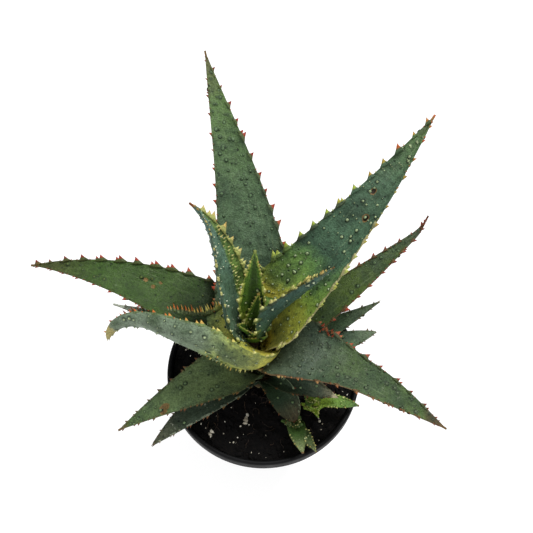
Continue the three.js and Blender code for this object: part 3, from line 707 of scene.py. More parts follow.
def leaf_skin(name, changes):
    """Waxy leaf skin whose colours run along the leaf, with patches, pores, streaks and spines."""
    look = {**USUAL_LOOK, **changes}
    m, shader = new_material("waxy_leaf_skin_" + name, IOR=1.45, Specular_IOR_Level=0.24)
    read = {key: add(m, "Attribute", attribute_name=key).outputs
            for key in (*FIELDS, "skin")}
    place = add(m, "TexCoord").outputs["Object"]
    along, across = read["along"]["Fac"], read["across"]["Fac"]
    tooth, boss = read["tooth"]["Fac"], read["boss"]["Fac"]

    def noise(size, detail, where=place, rough=0.55):
        return add(m, "TexNoise", {"Vector": where, "Scale": per_mm(size), "Detail": detail,
                                   "Roughness": rough}).outputs["Fac"]

    def share(value, low, high, to_low=0.0, to_high=1.0):
        return add(m, "MapRange", {"Value": value, "From Min": low, "From Max": high,
                                   "To Min": to_low, "To Max": to_high},
                   interpolation_type="SMOOTHSTEP").outputs["Result"]

    def calculate(operation, *values):
        return add(m, "Math", dict(enumerate(values)), operation=operation).outputs[0]

    def covered(under, code, mask):
        return add(m, "Mix", {0: mask, 6: under, 7: code if isinstance(code, bpy.types.NodeSocket)
                              else srgb(code)}, data_type="RGBA").outputs[2]

    # Patches are 14 mm clouds, and the colours' borders along the leaf wander by the same clouds.
    clouds = noise(14, 5)
    wandered = calculate("MULTIPLY_ADD", calculate("SUBTRACT", clouds, 0.5), 0.22, along)
    skin = add(m, "ValToRGB", {"Fac": wandered}, stops=look["run"]).outputs["Color"]

    # Streaks are 1.3 mm wide and run lengthwise: the skin's own coordinates are squeezed along it.
    stretched = add(m, "VectorMath", {0: read["skin"]["Vector"], 1: (1.0, 0.07, 1.0)},
                    operation="MULTIPLY").outputs[0]
    streaks = noise(1.3, 3, stretched)
    grain = noise(0.8, 3)
    blotches = noise(3.2, 4, rough=0.7)
    pores = add(m, "TexVoronoi", {"Vector": place, "Scale": per_mm(3.2), "Randomness": 1.0})
    pore = share(pores.outputs["Distance"], 0.12, 0.24, 1.0, 0.0)
    pored = calculate("MULTIPLY", pore, share(noise(7, 2), 0.45, 0.6))
    margin = share(calculate("ABSOLUTE", across), 0.92, 0.99)
    on_left = share(across, look["left_edge"] - 0.12, look["left_edge"] + 0.04, 1.0, 0.0)
    near_base = share(wandered, look["rim_until"] - 0.06, look["rim_until"], 1.0, 0.0)
    left_rim = calculate("MULTIPLY", margin, on_left)
    right_rim = calculate("MULTIPLY", margin, calculate("SUBTRACT", 1.0, on_left))
    dry = share(calculate("MULTIPLY_ADD", calculate("SUBTRACT", blotches, 0.5), 0.06, along),
                look["dry_from"] - 0.02, look["dry_from"] + 0.01)
    scarred = calculate("MULTIPLY_ADD", calculate("SUBTRACT", blotches, 0.5), 1.2, read["scar"]["Fac"])
    scarred = calculate("MULTIPLY", scarred, share(read["scar"]["Fac"], 0.02, 0.1))
    below = calculate("MULTIPLY", read["face"]["Fac"],
                      share(wandered, look["under_from"], look["under_from"] + 0.15))
    layers = [
        (look["under"], below, look["under_share"]),
        # Painted light: the half of the underside towards the right is painted a lit olive, as a sunlit
        # flank.
        (look["lit_flank"], calculate("MULTIPLY", below, share(across, -0.2, 0.5)), look["lit_flank_share"]),
        (look["left_half"], calculate("MULTIPLY", on_left, share(
            wandered, look["left_until"] - 0.12, look["left_until"], 1.0, 0.0)), look["left_share"]),
        (look["patch"], share(clouds, 0.44, 0.66), look["patch_share"]),
        # Painted shade: darker along the middle of a channel, where its trough lies.
        (look["channel"], share(calculate("ABSOLUTE", across), 0.2, 0.55, 1.0, 0.0),
         look["channel_shade_share"]),
        ("#18240f", share(blotches, 0.5, 0.68), 0.45),
        ("#16241a", share(streaks, 0.55, 0.8), 0.3),
        ("#9fb083", share(streaks, 0.45, 0.2), 0.2),
        ("#141f18", pored, 0.75),
        (look["fleck"], share(noise(2.4, 4, rough=0.75), 0.62, 0.7), look["fleck_share"]),
        (look["rim_left"], calculate("MULTIPLY", left_rim, near_base), look["rim_left_share"]),
        (look["rim_right"], calculate("MULTIPLY", right_rim, near_base), look["rim_right_share"]),
        # Painted shadow on the skin round the foot of each boss.
        (look["boss_foot_shade"], share(read["halo"]["Fac"], 0.2, 0.7), 0.7),
        (look["dry"], dry, 1.0),
        ("#7a5c34", share(scarred, 0.3, 0.5), 0.85),
        ("#120f0c", share(scarred, 0.68, 0.82), look["scar_core"]),
    ]
    for code, mask, strength in layers:
        if strength > 0:
            skin = covered(skin, code, calculate("MULTIPLY", mask, strength))

    # Spines: a boss has a painted shadow round its foot and a top that is pale, partly by its own
    # colour and partly by a painted highlight. It is brown at its very point.
    bossy = add(m, "ValToRGB", {"Fac": boss}, stops=[
        (0.0, look["boss_foot_shade"]), (0.3, look["boss_foot_shade"]), (0.6, look["boss_top_pale_and_lit"]),
        (0.9, look["boss_top_pale_and_lit"]), (1.0, "#6a4a2c")]).outputs["Color"]
    skin = covered(skin, bossy, share(boss, 0.0, 0.02))
    swayed = calculate("MULTIPLY_ADD", calculate("SUBTRACT", read["chance"]["Fac"], 0.5), 0.35, along)
    toothy = add(m, "ValToRGB", {"Fac": swayed}, stops=look["teeth"]).outputs["Color"]
    if look["teeth_left"]:
        other = add(m, "ValToRGB", {"Fac": swayed}, stops=look["teeth_left"]).outputs["Color"]
        toothy = covered(toothy, other, on_left)
    pointed = covered(toothy, "#5a1d10", share(tooth, 0.75, 1.0, 0.0, look["tip_share"]))
    skin = covered(skin, pointed, share(tooth, 0.36, 0.6))
    shades = add(m, "ValToRGB", {"Fac": grain}, stops=[(0.3, "#555555"), (0.7, "#e4e4e4")])
    grained = add(m, "Mix", {0: 0.6, 6: skin, 7: shades.outputs["Color"]},
                  data_type="RGBA", blend_type="OVERLAY")
    link(grained.outputs[2], shader.inputs["Base Color"])

    # Wax is thicker on the patches, so they shine less, and the dry tip doesn't shine at all.
    gloss = share(clouds, 0.35, 0.7, 0.42, 0.56)
    dull = calculate("MULTIPLY_ADD", dry, 0.3, gloss)
    link(dull, shader.inputs["Roughness"])
    relief = calculate("MULTIPLY_ADD", streaks, 0.6, grain)
    pitted = calculate("MULTIPLY_ADD", pored, -0.9, calculate("ADD", relief, blotches))
    bump = add(m, "Bump", {"Strength": 0.75, "Distance": 0.45 * MM, "Height": pitted})
    link(bump.outputs["Normal"], shader.inputs["Normal"])
    return m


# %% [markdown]
# ## The looks of each leaf
# No two leaves are the same age. The heart is a clear green, the leaf to the right at the back runs
# from yellow through slate to olive, the arching one is pale and blue-grey, and those next to the
# soil are dark with broken, straw-coloured ends. Each row gives only what differs from the usual.

# %% Leaf colours
RED_TEETH = [(0.0, "#a3683c"), (0.25, "#a5482a"), (0.5, "#98301c"), (1.0, "#702010")]
BROWN_TEETH = [(0.0, "#a08a54"), (0.4, "#945f34"), (0.8, "#843a22"), (1.0, "#602012")]
PALE_TEETH = [(0.0, "#cfd08a"), (0.6, "#c4c078"), (1.0, "#b59450")]
DULL_TEETH = [(0.0, "#7d6a3c"), (0.5, "#6b4526"), (1.0, "#57301a")]
LOOKS = {
    "heart": dict(
        run=[(0, "#a3ac40"), (0.3, "#56782a"), (0.8, "#587c30"), (1, "#74904a")], under="#5c8038",
        under_share=0.8, channel_shade_share=0.75, teeth=PALE_TEETH, patch="#24420f", boss_top_pale_and_lit="#b4c18a",
        dry="#7f8a48", rim_left="#a3b04e", rim_left_share=0.8, rim_right="#a3b04e", rim_right_share=0.8),
    "young_right": dict(
        run=[(0, "#8f9a30"), (0.2, "#5a7a38"), (0.45, "#38564a"), (1, "#45624a")], under="#3c5a4e",
        under_share=0.8, teeth=PALE_TEETH, boss_foot_shade="#1c2f26", boss_top_pale_and_lit="#b4c2a0", patch="#243c30",
        rim_left="#b3aa58", rim_left_share=0.6),
    "young_left": dict(
        run=[(0, "#a3a840"), (0.25, "#7f9844"), (0.6, "#64803f"), (0.9, "#58703c"), (1, "#5a5530")],
        under="#456456", under_share=0.9, left_half="#557266", left_share=0.85, left_edge=0.42,
        teeth=PALE_TEETH, boss_foot_shade="#2a4434", boss_top_pale_and_lit="#d0d6b8", dry="#7a4824", dry_from=0.97,
        patch="#2c4828", patch_share=0.7, rim_right="#b8b668", rim_right_share=0.6),
    "arching": dict(
        run=[(0, "#cbbe4c"), (0.16, "#bcbe58"), (0.3, "#a0b060"), (0.45, "#829b68"),
             (0.85, "#788c6a"), (1, "#8f8450")],
        under="#72836e", under_share=0.9, under_from=0.24, lit_flank="#7e8f52", lit_flank_share=0.65,
        patch="#3f5236", patch_share=0.8, fleck="#94a392", fleck_share=0.6,
        teeth=[ (0.0, "#d2cf84"), (0.3, "#cfc468"), (0.5, "#c4702a"), (1.0, "#a83c18")],
        boss_foot_shade="#2c3d2c", boss_top_pale_and_lit="#9caa80", dry="#a89e66", dry_from=0.86, rim_left="#56653c",
        rim_left_share=0.6),
    # The yellow at this leaf's base is its own young colour, brightest on its left half. It is lightened
    # further by a painted highlight.
    "right_back": dict(
        run=[(0, "#cfbc4c"), (0.12, "#adb048"), (0.2, "#8aa648"), (0.3, "#628644"), (0.4, "#46654c"),
             (0.7, "#4c664e"), (0.9, "#587446"), (1, "#667340")],
        left_half="#d6c650", left_share=0.75, left_until=0.24,
        teeth=[(0.0, "#cbcb80"), (0.4, "#a9b457"), (0.85, "#a9702c"), (1.0, "#b04a1c")],
        teeth_left=[(0.0, "#c4cc70"), (0.45, "#8fa03c"), (0.8, "#a98a34"), (1.0, "#b04a1c")],
        boss_foot_shade="#1b2d20", boss_top_pale_and_lit="#a9ba8c", dry="#b8602c", dry_from=0.99, rim_right="#b0a878",
        rim_right_share=0.85, rim_until=0.62),
    "back": dict(
        run=[(0, "#5a7040"), (0.12, "#526850"), (0.45, "#4c6445"), (0.8, "#546f3c"), (1, "#605a38")],
        boss_foot_shade="#1c2a1c", boss_top_pale_and_lit="#6d8862", teeth=RED_TEETH, dry_from=0.985),
    "right_front": dict(
        run=[(0, "#48543c"), (0.28, "#4a5848"), (0.45, "#465a34"), (0.85, "#465c2e"), (1, "#6b3a1c")],
        teeth=BROWN_TEETH,
        teeth_left=[ (0, "#a3683c"), (0.3, "#96583a"), (0.5, "#98301c"), (1, "#702010")],
        boss_foot_shade="#222c1f", boss_top_pale_and_lit="#66755a", fleck="#b3b69c", fleck_share=0.3, rim_right="#6b4428",
        rim_right_share=0.6),
    # The nearly black first quarter of this leaf is a painted shadow, cast by the young leaf above its
    # base.
    "left": dict(
        run=[(0, "#141f0c"), (0.26, "#1c2d0e"), (0.38, "#37501c"), (0.7, "#3a5420"), (1, "#4c4a28")],
        teeth=RED_TEETH, boss_foot_shade="#22321a", boss_top_pale_and_lit="#5a6a38", patch="#243a18", patch_share=0.4,
        scar_core=0.0),
    "right": dict(
        run=[(0, "#465424"), (0.4, "#4a5e26"), (0.8, "#435628"), (1, "#44402c")], teeth=RED_TEETH,
        dry="#6a3820", dry_from=0.95, rim_left="#6a3820", rim_left_share=0.5, rim_right="#6a3820",
        rim_right_share=0.5),
    "left_front": dict(
        run=[(0, "#6a7b4e"), (0.5, "#60744a"), (0.9, "#4c633a"), (1, "#6a2f18")], teeth=DULL_TEETH,
        fleck="#9aa884", fleck_share=0.4, scar_core=0.3),
    "left_under": dict(
        run=[(0, "#435548"), (0.6, "#3a4d3e"), (1, "#8c9183")], teeth=DULL_TEETH, dry="#9a9f90",
        dry_from=0.93),
    "right_low_back": dict(
        run=[(0, "#42593a"), (0.6, "#42593a"), (1, "#525f44")], teeth=DULL_TEETH, dry="#8f8a68"),
    "right_low": dict(
        run=[(0, "#42593a"), (0.6, "#3f5838"), (1, "#586850")], teeth=DULL_TEETH, dry="#7d8470"),
    "left_low": dict(
        run=[(0, "#3d4a3c"), (0.6, "#394738"), (1, "#4c4c38")], teeth=DULL_TEETH, fleck="#b7bba8",
        fleck_share=0.6, rim_left="#9aa38c", rim_left_share=0.5, dry="#5f4c2c"),
    "front_right_low": dict(
        run=[(0, "#2f3d2c"), (0.6, "#2c3a29"), (1, "#6b6850")], teeth=DULL_TEETH, dry="#b5ac8c",
        dry_from=0.92),
    "front_low": dict(
        run=[(0, "#2f422c"), (0.6, "#2e402b"), (1, "#57462e")], teeth=DULL_TEETH, rim_left="#8a9a78",
        rim_left_share=0.7, dry="#57381e"),
}

# %% Grow and dress the main leaves
INNER_LEAF = dict(thickness=2, taper=2, channel=50, sheathLength=3, narrowLength=5, prickles=2,
                  bumps=6, teeth=(1.6, 2.6))
INNER_LEAVES = [
    dict(height=112, aim=(-80, -84, -88), rise=(62, 60, 58), length=15, width=11),
    dict(height=111, aim=(-20, -16, -12), rise=(58, 55, 50), length=17, width=10),
    dict(height=112, aim=(205, 200, 195), rise=(66, 62, 58), length=18, width=10),
    dict(height=109, aim=(-48, -44, -40), rise=(48, 55, 62), length=19, width=15, thickness=2.4,
         channel=60, teeth=(1.9, 2.8)),
    dict(height=114, aim=(60, 64, 68), rise=(78, 74, 70), length=30, width=11, channel=60,
         teeth=(2.2, 4)),
]
for index, (name, row) in enumerate(LEAVES.items()):
    aim = math.radians(row["aim"][0])
    out = np.array([math.cos(aim), math.sin(aim), 0])
    start = stem_centre(row["height"]) + out * row.get("base", BASE_RADIUS)
    parts = [grow(row, start, 11 + index)]
    for count, inner in enumerate(INNER_LEAVES if name == "heart" else ()):
        parts.append(grow({**INNER_LEAF, **inner}, stem_centre(inner["height"]), 301 + count, fine=0.7))
    add_piece(name + "_leaf", parts, leaf_skin(name, LOOKS[name]), name)

# %% [markdown]
# ## Offsets
# Two young rosettes stand at the plant's foot. Each is a short stub in the soil with a few small
# leaves of the same plan, still bright green, with soft pale teeth. A ring of shorter leaves round
# each crown makes it the spiky ball that such an offset is at this age.

# %% Grow and dress the offsets
OFFSET_DEPTH = 12
OFFSET_RADIUS = 2.4
SMALL_LEAF = dict(thickness=2, sheathLength=2, sheathOpens=3, narrowLength=4, teeth=(1.1, 4.6),
                  prickles=0, bumps=14)
OFFSETS = {
    "offset_right": dict(foot=(26, -20), height=79, crown=11, crown_foot=(27.5, -23, 76), leaves=[
        dict(aim=(-6, -9, -12), rise=(20, 4, -4), length=27, width=8, taper=4, channel=25),
        dict(aim=(60, 60, 60), rise=(60, 50, 40), length=9, width=7, taper=2, channel=40),
        dict(aim=(150, 150, 150), rise=(60, 50, 40), length=10, width=7, taper=2, channel=40),
        dict(aim=(235, 235, 235), rise=(55, 45, 35), length=10, width=7, taper=2, channel=40)]),
    "offset_front": dict(foot=(17, -33), height=78, crown=3, crown_foot=(17, -33, 78), leaves=[
        dict(aim=(-84, -80, -76), rise=(48, 25, 5), length=21, width=11, taper=3, channel=50),
        dict(aim=(-58, -56, -60), rise=(30, 12, 0), length=21, width=7, taper=3, channel=25),
        dict(aim=(190, 190, 190), rise=(60, 50, 40), length=9, width=7, taper=2, channel=40)]),
}
OFFSET_LOOKS = {
    "offset_right": dict(
        run=[(0, "#c4d650"), (0.2, "#a3c246"), (0.45, "#6a8c34"), (0.8, "#54742f"), (1, "#4a6a34")],
        teeth=PALE_TEETH, tip_share=0.1, patch="#3c5a20", patch_share=0.4, boss_foot_shade="#4a6a24",
        boss_top_pale_and_lit="#c9d088", under="#5c7c35"),
    # This offset's darker greens are partly its own colour and partly painted shade.
    "offset_front": dict(
        run=[(0, "#4c6628"), (0.5, "#3f5a28"), (1, "#7a8456")], teeth=PALE_TEETH, patch="#2c4422",
        boss_foot_shade="#3a5428", boss_top_pale_and_lit="#b4be8c", under="#4c6638"),
}


CROWN_TURN = 137.5    # degrees between a leaf and the next, as in a plant's own spiral
CROWN_BRIGHT = 0.3    # these leaves are younger: each has the colours of a leaf's first third


def stub(foot, low, high, radius):
    """A short round stub: rings that are full between its ends and drawn in a little at the top."""
    heights = np.linspace(low, high, 24)[:, None]
    reach = radius * np.sqrt(np.clip(1 - ((heights - low) / (high - low)) ** 8, 0.05, 1))
    return tube(polar(reach, turns(32), heights) + np.array([*foot, 0]))


def crown(count):
    """Short leaves all round an offset's crown, alternately steep and low."""
    return [dict(aim=(40 + i * CROWN_TURN,) * 3, rise=(68 - 34 * (i % 2),) * 3, taper=2, channel=40,
                 length=8.5 + 1.5 * (i % 3), width=4.6, teeth=(1.3, 1.9), bumps=5) for i in range(count)]


for name, row in OFFSETS.items():
    foot = stub(row["foot"], SOIL_TOP - OFFSET_DEPTH, row["height"] + 2, OFFSET_RADIUS)
    parts = [(*foot[:3], all_fields(len(foot[0]), skin=foot[0] * MM))]
    for index, small in enumerate(row["leaves"]):
        start = np.array([*row["foot"], row["height"]], float)
        parts.append(grow({**SMALL_LEAF, **small}, start, 71 + index, fine=0.5))
    for index, small in enumerate(crown(row["crown"])):
        start = np.array(row["crown_foot"], float)
        parts.append(grow({**SMALL_LEAF, **small}, start, 81 + index, fine=0.7))
        parts[-1][3]["along"] *= CROWN_BRIGHT
    add_piece(name + "_rosette", parts, leaf_skin(name, OFFSET_LOOKS[name]), name)

# %% [markdown]
# ## Stem
# The stem is mostly hidden. It is a soft trunk ringed by the scars of shed leaves, with the dry
# rims of old sheaths still on it, so its outline steps in a little above each scar. A profile
# carried up the leaning axis gives that, and fine waves roughen it.

# %% Grow and dress the stem
STEM_RADIUS = 5
LEAF_SCAR_STEP = 4.2
LEAF_SCAR_DEPTH = 0.4
ROOT_CROWN_DEPTH = 20
STEM_END = 115
STEM_TIP_RADIUS = 2.2


def stem_radius(height):
    """The root crown below the soil, then a slow taper with a saw-tooth of scars, then the tip."""
    taper = np.interp(height, [SOIL_TOP, 112], [STEM_RADIUS + 0.4, STEM_RADIUS - 1])
    scar = ((height - SOIL_TOP) / LEAF_SCAR_STEP) % 1
    ringed = taper - LEAF_SCAR_DEPTH * smoothstep(scar / 0.7) * (scar < 0.97)
    crown = np.interp(height, [54, 62, 70, 74], [3.2, 6.4, 6.4, 5.4])
    top = STEM_TIP_RADIUS + (ringed - STEM_TIP_RADIUS) * np.sqrt(np.clip((STEM_END - height) / 3, 0, 1))
    return np.where(height < SOIL_TOP, crown, np.minimum(ringed, top))


level = np.linspace(SOIL_TOP - ROOT_CROWN_DEPTH, STEM_END, 150)[:, None]
turn = turns(72)
rough = 0.12 * waves(np.cos(turn) * 5, np.sin(turn) * 5 + level * 0.3, 4, 3)
grid = stem_centre(level) + polar(stem_radius(level) + rough, turn, 0)

bark, bark_shader = new_material("corky_aloe_bark", IOR=1.45, Roughness=0.85)
where = add(bark, "TexCoord").outputs["Object"]
# A wave texture turns 20 radians to a unit, so there is one band, dark or pale, to each scar.
ring_lines = add(bark, "TexWave", {"Vector": where, "Scale": per_mm(LEAF_SCAR_STEP) / 20 * 3.14,
                                   "Distortion": 3.0, "Detail": 3.0}, bands_direction="Z")
bark_colour = add(bark, "ValToRGB", {"Fac": ring_lines.outputs["Fac"]}, stops=[
    (0.0, "#4b3a26"), (0.5, "#6f6242"), (1.0, "#8a8258")])
link(bark_colour.outputs["Color"], bark_shader.inputs["Base Color"])
cork = add(bark, "TexNoise", {"Vector": where, "Scale": per_mm(1.1), "Detail": 5.0})
cork_bump = add(bark, "Bump", {"Strength": 0.7, "Distance": 0.4 * MM, "Height": cork.outputs["Fac"]})
link(cork_bump.outputs["Normal"], bark_shader.inputs["Normal"])
add_piece("ringed_stem", [tube(grid)], bark, "stem")

# %% [markdown]
# ## Pot
# A nursery pot is polypropylene, injection moulded in carbon black: satin, faintly pebbled, with
# softly rounded edges because the plastic is thin. It could be a cylinder with a Bevel modifier.
# A turned profile is exact instead, and each of its corners is rounded by a short curve.

# %% Turn the pot and cut its drain holes
POT_TOP_RADIUS = 54
POT_FOOT_RADIUS = 34
POT_HEIGHT = 78
POT_WALL = 1.4
RIM_STEP = 1.6
BAND_LOW = 69
FOOT_THICKNESS = 2
DRAIN_HOLES = 6
DRAIN_RADIUS = 4
DRAIN_CIRCLE = 25
POT_AROUND = 192


def wall_radius(height):
    """The outer wall's radius: a straight taper from the foot to just under the rim band."""
    return POT_FOOT_RADIUS + (POT_TOP_RADIUS - RIM_STEP - POT_FOOT_RADIUS) * height / BAND_LOW


def rounded(corners, radius, steps):
    """A profile whose inner corners are each a curve between two points that lie radius away."""
    corners = np.array(corners, float)
    made = [corners[:1]]
    u = np.linspace(0, 1, steps)[:, None]
    for before, corner, after in zip(corners[:-2], corners[1:-1], corners[2:]):
        reach_in = min(radius, np.linalg.norm(before - corner) * 0.45)
        reach_out = min(radius, np.linalg.norm(after - corner) * 0.45)
        start = corner + (before - corner) / np.linalg.norm(before - corner) * reach_in
        end = corner + (after - corner) / np.linalg.norm(after - corner) * reach_out
        made.append((1 - u) ** 2 * start + 2 * u * (1 - u) * corner + u ** 2 * end)
    return np.concatenate(made + [corners[-1:]])


inner_top = POT_TOP_RADIUS - RIM_STEP - POT_WALL + 0.5
pot_profile = rounded([
    (0.02, 0), (POT_FOOT_RADIUS - 1.5, 0), (wall_radius(1.5), 1.5), (wall_radius(BAND_LOW), BAND_LOW),
    (POT_TOP_RADIUS - 0.4, BAND_LOW + 0.6), (POT_TOP_RADIUS, BAND_LOW + 1.6),
    (POT_TOP_RADIUS, POT_HEIGHT - 0.9), (POT_TOP_RADIUS - 0.7, POT_HEIGHT),
    (inner_top + 0.7, POT_HEIGHT), (inner_top, POT_HEIGHT - 0.9),
    (wall_radius(BAND_LOW) - POT_WALL, BAND_LOW - 3),
    (wall_radius(FOOT_THICKNESS) - POT_WALL, FOOT_THICKNESS), (0.02, FOOT_THICKNESS)], 1.2, 6)
ring_radius, ring_height = pot_profile.T
# Columns run anticlockwise seen from above, and the profile climbs outside: so faces point out.
pot_grid = polar(ring_radius[:, None], turns(POT_AROUND), ring_height[:, None])

plastic, plastic_shader = new_material(
    "moulded_black_polypropylene", IOR=1.49, Base_Color=srgb("#060607"), Specular_IOR_Level=0.15)
where = add(plastic, "TexCoord").outputs["Object"]
scuffs = add(plastic, "TexNoise", {"Vector": where, "Scale": per_mm(9), "Detail": 6.0})
satin = add(plastic, "MapRange", {"Value": scuffs.outputs["Fac"], "From Min": 0.3, "From Max": 0.7,
                                  "To Min": 0.5, "To Max": 0.65})
link(satin.outputs["Result"], plastic_shader.inputs["Roughness"])
pebbles = add(plastic, "TexNoise", {"Vector": where, "Scale": per_mm(0.7), "Detail": 2.0})
pebble_bump = add(plastic, "Bump", {"Strength": 0.25, "Distance": 0.1 * MM,
                                    "Height": pebbles.outputs["Fac"]})
link(pebble_bump.outputs["Normal"], plastic_shader.inputs["Normal"])


# %% Drill the pot
pot = add_piece("nursery_pot", [tube(pot_grid)], plastic, "pot")
SMOOTH_BELOW = 35    # degrees: the profile turns by less at each step, so only the holes' edges are sharp
drill_parts = []
for angle in turns(DRAIN_HOLES) + math.pi / DRAIN_HOLES:
    centre = (DRAIN_CIRCLE * math.cos(angle), DRAIN_CIRCLE * math.sin(angle))
    drill_parts.append(stub(centre, -2, FOOT_THICKNESS + 2, DRAIN_RADIUS))
drills = add_piece("drills", drill_parts, plastic)
cut = pot.modifiers.new("drain_holes", "BOOLEAN")
cut.operation = "DIFFERENCE"
cut.solver = "EXACT"
cut.object = drills
drilled = bpy.data.meshes.new_from_object(pot.evaluated_get(bpy.context.evaluated_depsgraph_get()))
pot.modifiers.clear()
drilled.set_sharp_from_angle(angle=math.radians(SMOOTH_BELOW))
pot.data = drilled
bpy.data.objects.remove(drills)
print("pot after drilling:", len(pot.data.polygons), "faces")

# %% [markdown]
# ## Peat
# Moist peat is nearly black, with no shine, and made of crumbs from dust up to a few millimetres.
# A displaced disc alone looks like mud, so the disc carries low lumps, and 1500 loose crumbs of
# a few dozen faces each lie half sunk in it.

# %% Lay the peat
SOIL_AROUND = 320
SOIL_RINGS = 110
CLEARANCE = 0.35


def soil_height(x, y):
    """The model's long ripples, with lumps of 7, 3 and 1.4 mm on them."""
    long_waves = (np.sin(0.31 * x + 1.3) * np.cos(0.27 * y) + 0.6 * np.sin(0.71 * y - 0.52 * x)
                  + 0.5 * np.cos(0.93 * x + 0.64 * y))
    lumps = (0.45 * waves(x, y, 7, 21) - 0.3 * np.abs(waves(x, y, 3, 22))
             - 0.22 * np.abs(waves(x, y, 1.4, 23)))
    return SOIL_TOP + 0.5 * long_waves + lumps


soil_top_radius = inner_top - CLEARANCE - 0.3
floor_level, band_level = FOOT_THICKNESS + CLEARANCE, BAND_LOW - 3
side_radius = np.array([0.1, wall_radius(FOOT_THICKNESS) - POT_WALL - CLEARANCE - 0.3,
                        wall_radius(BAND_LOW) - POT_WALL - CLEARANCE - 0.3])[:, None]
side_height = np.array([floor_level, floor_level, band_level])[:, None]
radii = soil_top_radius * np.sqrt(np.linspace(1, 0.00002, SOIL_RINGS))[:, None]
angle = turns(SOIL_AROUND)
top_grid = polar(radii, angle, soil_height(radii * np.cos(angle), radii * np.sin(angle)))
soil_grid = np.concatenate([polar(side_radius, angle, side_height), top_grid])

# %% Loose crumbs
CRUMB_AROUND = 6
CRUMB_RINGS = np.array([0.38, 0.93, 0.93, 0.38])[:, None]
CRUMB_LEVELS = np.array([-0.92, -0.36, 0.36, 0.92])[:, None]
CRUMB_SQUASH = 0.7


def crumbs(x, y, z, size, seed):
    """Lumpy grains: small balls of 4 rings, each dented, stretched, tipped and turned at random."""
    rng = np.random.default_rng(seed)
    n = len(x)
    ball = polar(CRUMB_RINGS, turns(CRUMB_AROUND), CRUMB_LEVELS).reshape(-1, 3)
    ball = np.concatenate([ball, [[0, 0, -1], [0, 0, 1]]])
    dented = ball * rng.uniform(0.7, 1.2, (n, len(ball), 1))
    stretch = [rng.uniform(0.7, 1.4, n), rng.uniform(0.6, 1.1, n), np.full(n, CRUMB_SQUASH)]
    a, b, c = (dented * np.stack(stretch, axis=-1)[:, None]).transpose(2, 0, 1)
    turn = rng.uniform(0, 2 * np.pi, (n, 1))
    tip = rng.uniform(-0.6, 0.6, (n, 1))
    b, c = b * np.cos(tip) - c * np.sin(tip), b * np.sin(tip) + c * np.cos(tip)
    grain = np.stack([a * np.cos(turn) - b * np.sin(turn), a * np.sin(turn) + b * np.cos(turn), c], -1)
    places = np.stack([x, y, z], axis=-1)[:, None]
    return many_tubes(grain * size[:, None, None] + places, len(CRUMB_RINGS), CRUMB_AROUND)


def scattered(count, seed, low, high, edge=1.0):
    """Random places on the peat, evenly over its area, with sizes between two limits."""
    rng = np.random.default_rng(seed)
    radius = (soil_top_radius - edge) * np.sqrt(rng.random(count))
    turn = rng.uniform(0, 2 * np.pi, count)
    size = low + (high - low) * rng.random(count) ** 3
    x, y = radius * np.cos(turn), radius * np.sin(turn)
    return x, y, soil_height(x, y) + 0.25 * size, size


peat_stuff, peat_shader = new_material("moist_peat", IOR=1.4, Roughness=0.95, Specular_IOR_Level=0.25)
where = add(peat_stuff, "TexCoord").outputs["Object"]
dust = add(peat_stuff, "TexNoise", {"Vector": where, "Scale": per_mm(1.6), "Detail": 6.0,
                                    "Roughness": 0.7})
peat_colour = add(peat_stuff, "ValToRGB", {"Fac": dust.outputs["Fac"]}, stops=[
    (0.0, "#020202"), (0.5, "#060505"), (0.62, "#0e0b09"), (0.72, "#241b14"), (1.0, "#4a3a28")])
link(peat_colour.outputs["Color"], peat_shader.inputs["Base Color"])
peat_bump = add(peat_stuff, "Bump", {"Strength": 0.9, "Distance": 0.5 * MM,
                                     "Height": dust.outputs["Fac"]})
link(peat_bump.outputs["Normal"], peat_shader.inputs["Normal"])

add_piece("peat", [tube(soil_grid), crumbs(*scattered(1500, 31, 0.35, 1.7), 32)], peat_stuff, "soil")

# %% [markdown]
# ## Bits in the peat
# Grains of white grit, flakes of pale wood and brown root fibres lie on top. Most are strewn over
# the peat at random, and the pale flakes lie in a few clusters in front. The grit is like the crumbs. A
# fibre is a thin tube along a wandering path, laid on the peat.

# %% Scatter grit, flakes and fibres
FLAKE_CLUSTERS = {
    "long_pale_flake": dict(middle=(-9.3, -28.5), spread=(0.6, 2.5), count=4, size=1.5),
    "tan_flakes": dict(middle=(-29, -37), spread=(1.6, 1.3), count=3, size=1.05),
    "front_left_chips": dict(middle=(-22, -35), spread=(14, 6), count=11, size=0.55),
    "right_chips": dict(middle=(30, -29.5), spread=(2, 1.5), count=3, size=0.7),
}
FIBRE_SIDES = 4
FIBRE_STEPS = 14
FIBRE_THICKNESS = 0.16


def flake_places():
    """Flakes of each cluster: evenly spaced in y over its spread, and at random in x and size."""
    rng = np.random.default_rng(44)
    rows = []
    for row in FLAKE_CLUSTERS.values():
        n = row["count"]
        x = row["middle"][0] + row["spread"][0] * rng.uniform(-1, 1, n)
        y = row["middle"][1] + row["spread"][1] * np.linspace(-1, 1, n)
        rows.append(np.stack([x, y, row["size"] * rng.uniform(0.8, 1.15, n)]))
    return np.concatenate(rows, axis=1)


def mineral(name, stops, size):
    """A matt material whose colour wanders between a few tones over a size in mm."""
    m, shader = new_material(name, IOR=1.5, Roughness=0.85)
    where = add(m, "TexCoord").outputs["Object"]
    tint = add(m, "TexNoise", {"Vector": where, "Scale": per_mm(size), "Detail": 3.0})
    colour = add(m, "ValToRGB", {"Fac": tint.outputs["Fac"]}, stops=stops)
    link(colour.outputs["Color"], shader.inputs["Base Color"])
    return m


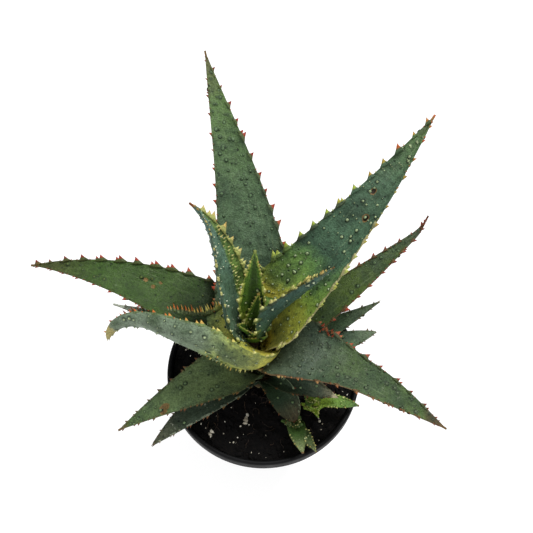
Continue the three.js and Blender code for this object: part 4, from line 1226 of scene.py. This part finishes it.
def fibres(count, seed):
    """Thin tubes: each path turns a little at every step and lies on the peat."""
    rng = np.random.default_rng(seed)
    x, y = scattered(count, seed, 1, 1, edge=6)[:2]
    start = rng.uniform(0, 2 * np.pi, (count, 1))
    turn = start + np.cumsum(rng.normal(0, 0.35, (count, FIBRE_STEPS)), axis=1)
    step = rng.uniform(3, 9, (count, 1)) / FIBRE_STEPS
    x = x[:, None] + np.cumsum(np.cos(turn), axis=1) * step
    y = y[:, None] + np.cumsum(np.sin(turn), axis=1) * step
    inside = np.minimum(1, (soil_top_radius - 1) / np.hypot(x, y))
    path = np.stack([x * inside, y * inside, soil_height(x * inside, y * inside) + 0.3], axis=-1)
    side = np.stack([-np.sin(turn), np.cos(turn), np.zeros_like(turn)], axis=-1)
    angle = turns(FIBRE_SIDES)[:, None]
    ring = (side[:, :, None] * np.cos(angle) + np.array([0, 0, 1]) * np.sin(angle)) * FIBRE_THICKNESS
    grid = (path[:, :, None] + ring).reshape(count, -1, 3)
    points = np.concatenate([grid, path[:, :1], path[:, -1:]], axis=1)
    return many_tubes(points, FIBRE_STEPS, FIBRE_SIDES)


flake_x, flake_y, flake_size = flake_places()
flakes = crumbs(flake_x, flake_y, soil_height(flake_x, flake_y) + 0.5, flake_size, 43)
add_piece("grit", [flakes, crumbs(*scattered(70, 41, 0.25, 0.8), 42)], mineral(
    "pale_mineral_grit", [(0.3, "#8d8371"), (0.5, "#c9c2b0"), (0.7, "#dedbd0")], 4), like="soil")
add_piece("root_fibres", [fibres(150, 51)], mineral(
    "dry_root_fibre", [(0.3, "#140d08"), (0.5, "#2a1c12"), (0.7, "#54402a")], 6), like="soil")

# %% [markdown]
# ## Withered leaves
# Two small leaves at the plant's foot have withered. A withered leaf is brown, thin, curled and
# frayed at its end, so it is grown as a short leaf with a torn end.

# %% Grow the withered leaves
WITHERED_LEAF = dict(height=78, taper=3, channel=70, teeth=(0.8, 5), prickles=0, bumps=4, torn=0.4,
                     sheathLength=3, narrowLength=5)
WITHERED = [dict(aim=(-8, -10, -14), rise=(6, 2, 8), length=28, width=9, thickness=1.4),
            dict(aim=(-62, -60, -56), rise=(0, -4, 10), length=15, width=7, thickness=1.3)]
withered_skin = leaf_skin("withered", dict(
    run=[(0, "#2a1c10"), (0.5, "#4a3018"), (1, "#8a6a42")], under="#3a2814", patch="#1c120a",
    fleck="#9a8058", fleck_share=0.5, teeth=DULL_TEETH, dry="#a58a60", dry_from=0.8,
    boss_foot_shade="#1c120a", boss_top_pale_and_lit="#6a4a28"))
shreds = [grow({**WITHERED_LEAF, **row}, stem_centre(WITHERED_LEAF["height"]), 401 + index, fine=0.7)
          for index, row in enumerate(WITHERED)]
add_piece("withered_leaves", shreds, withered_skin, like="stem")
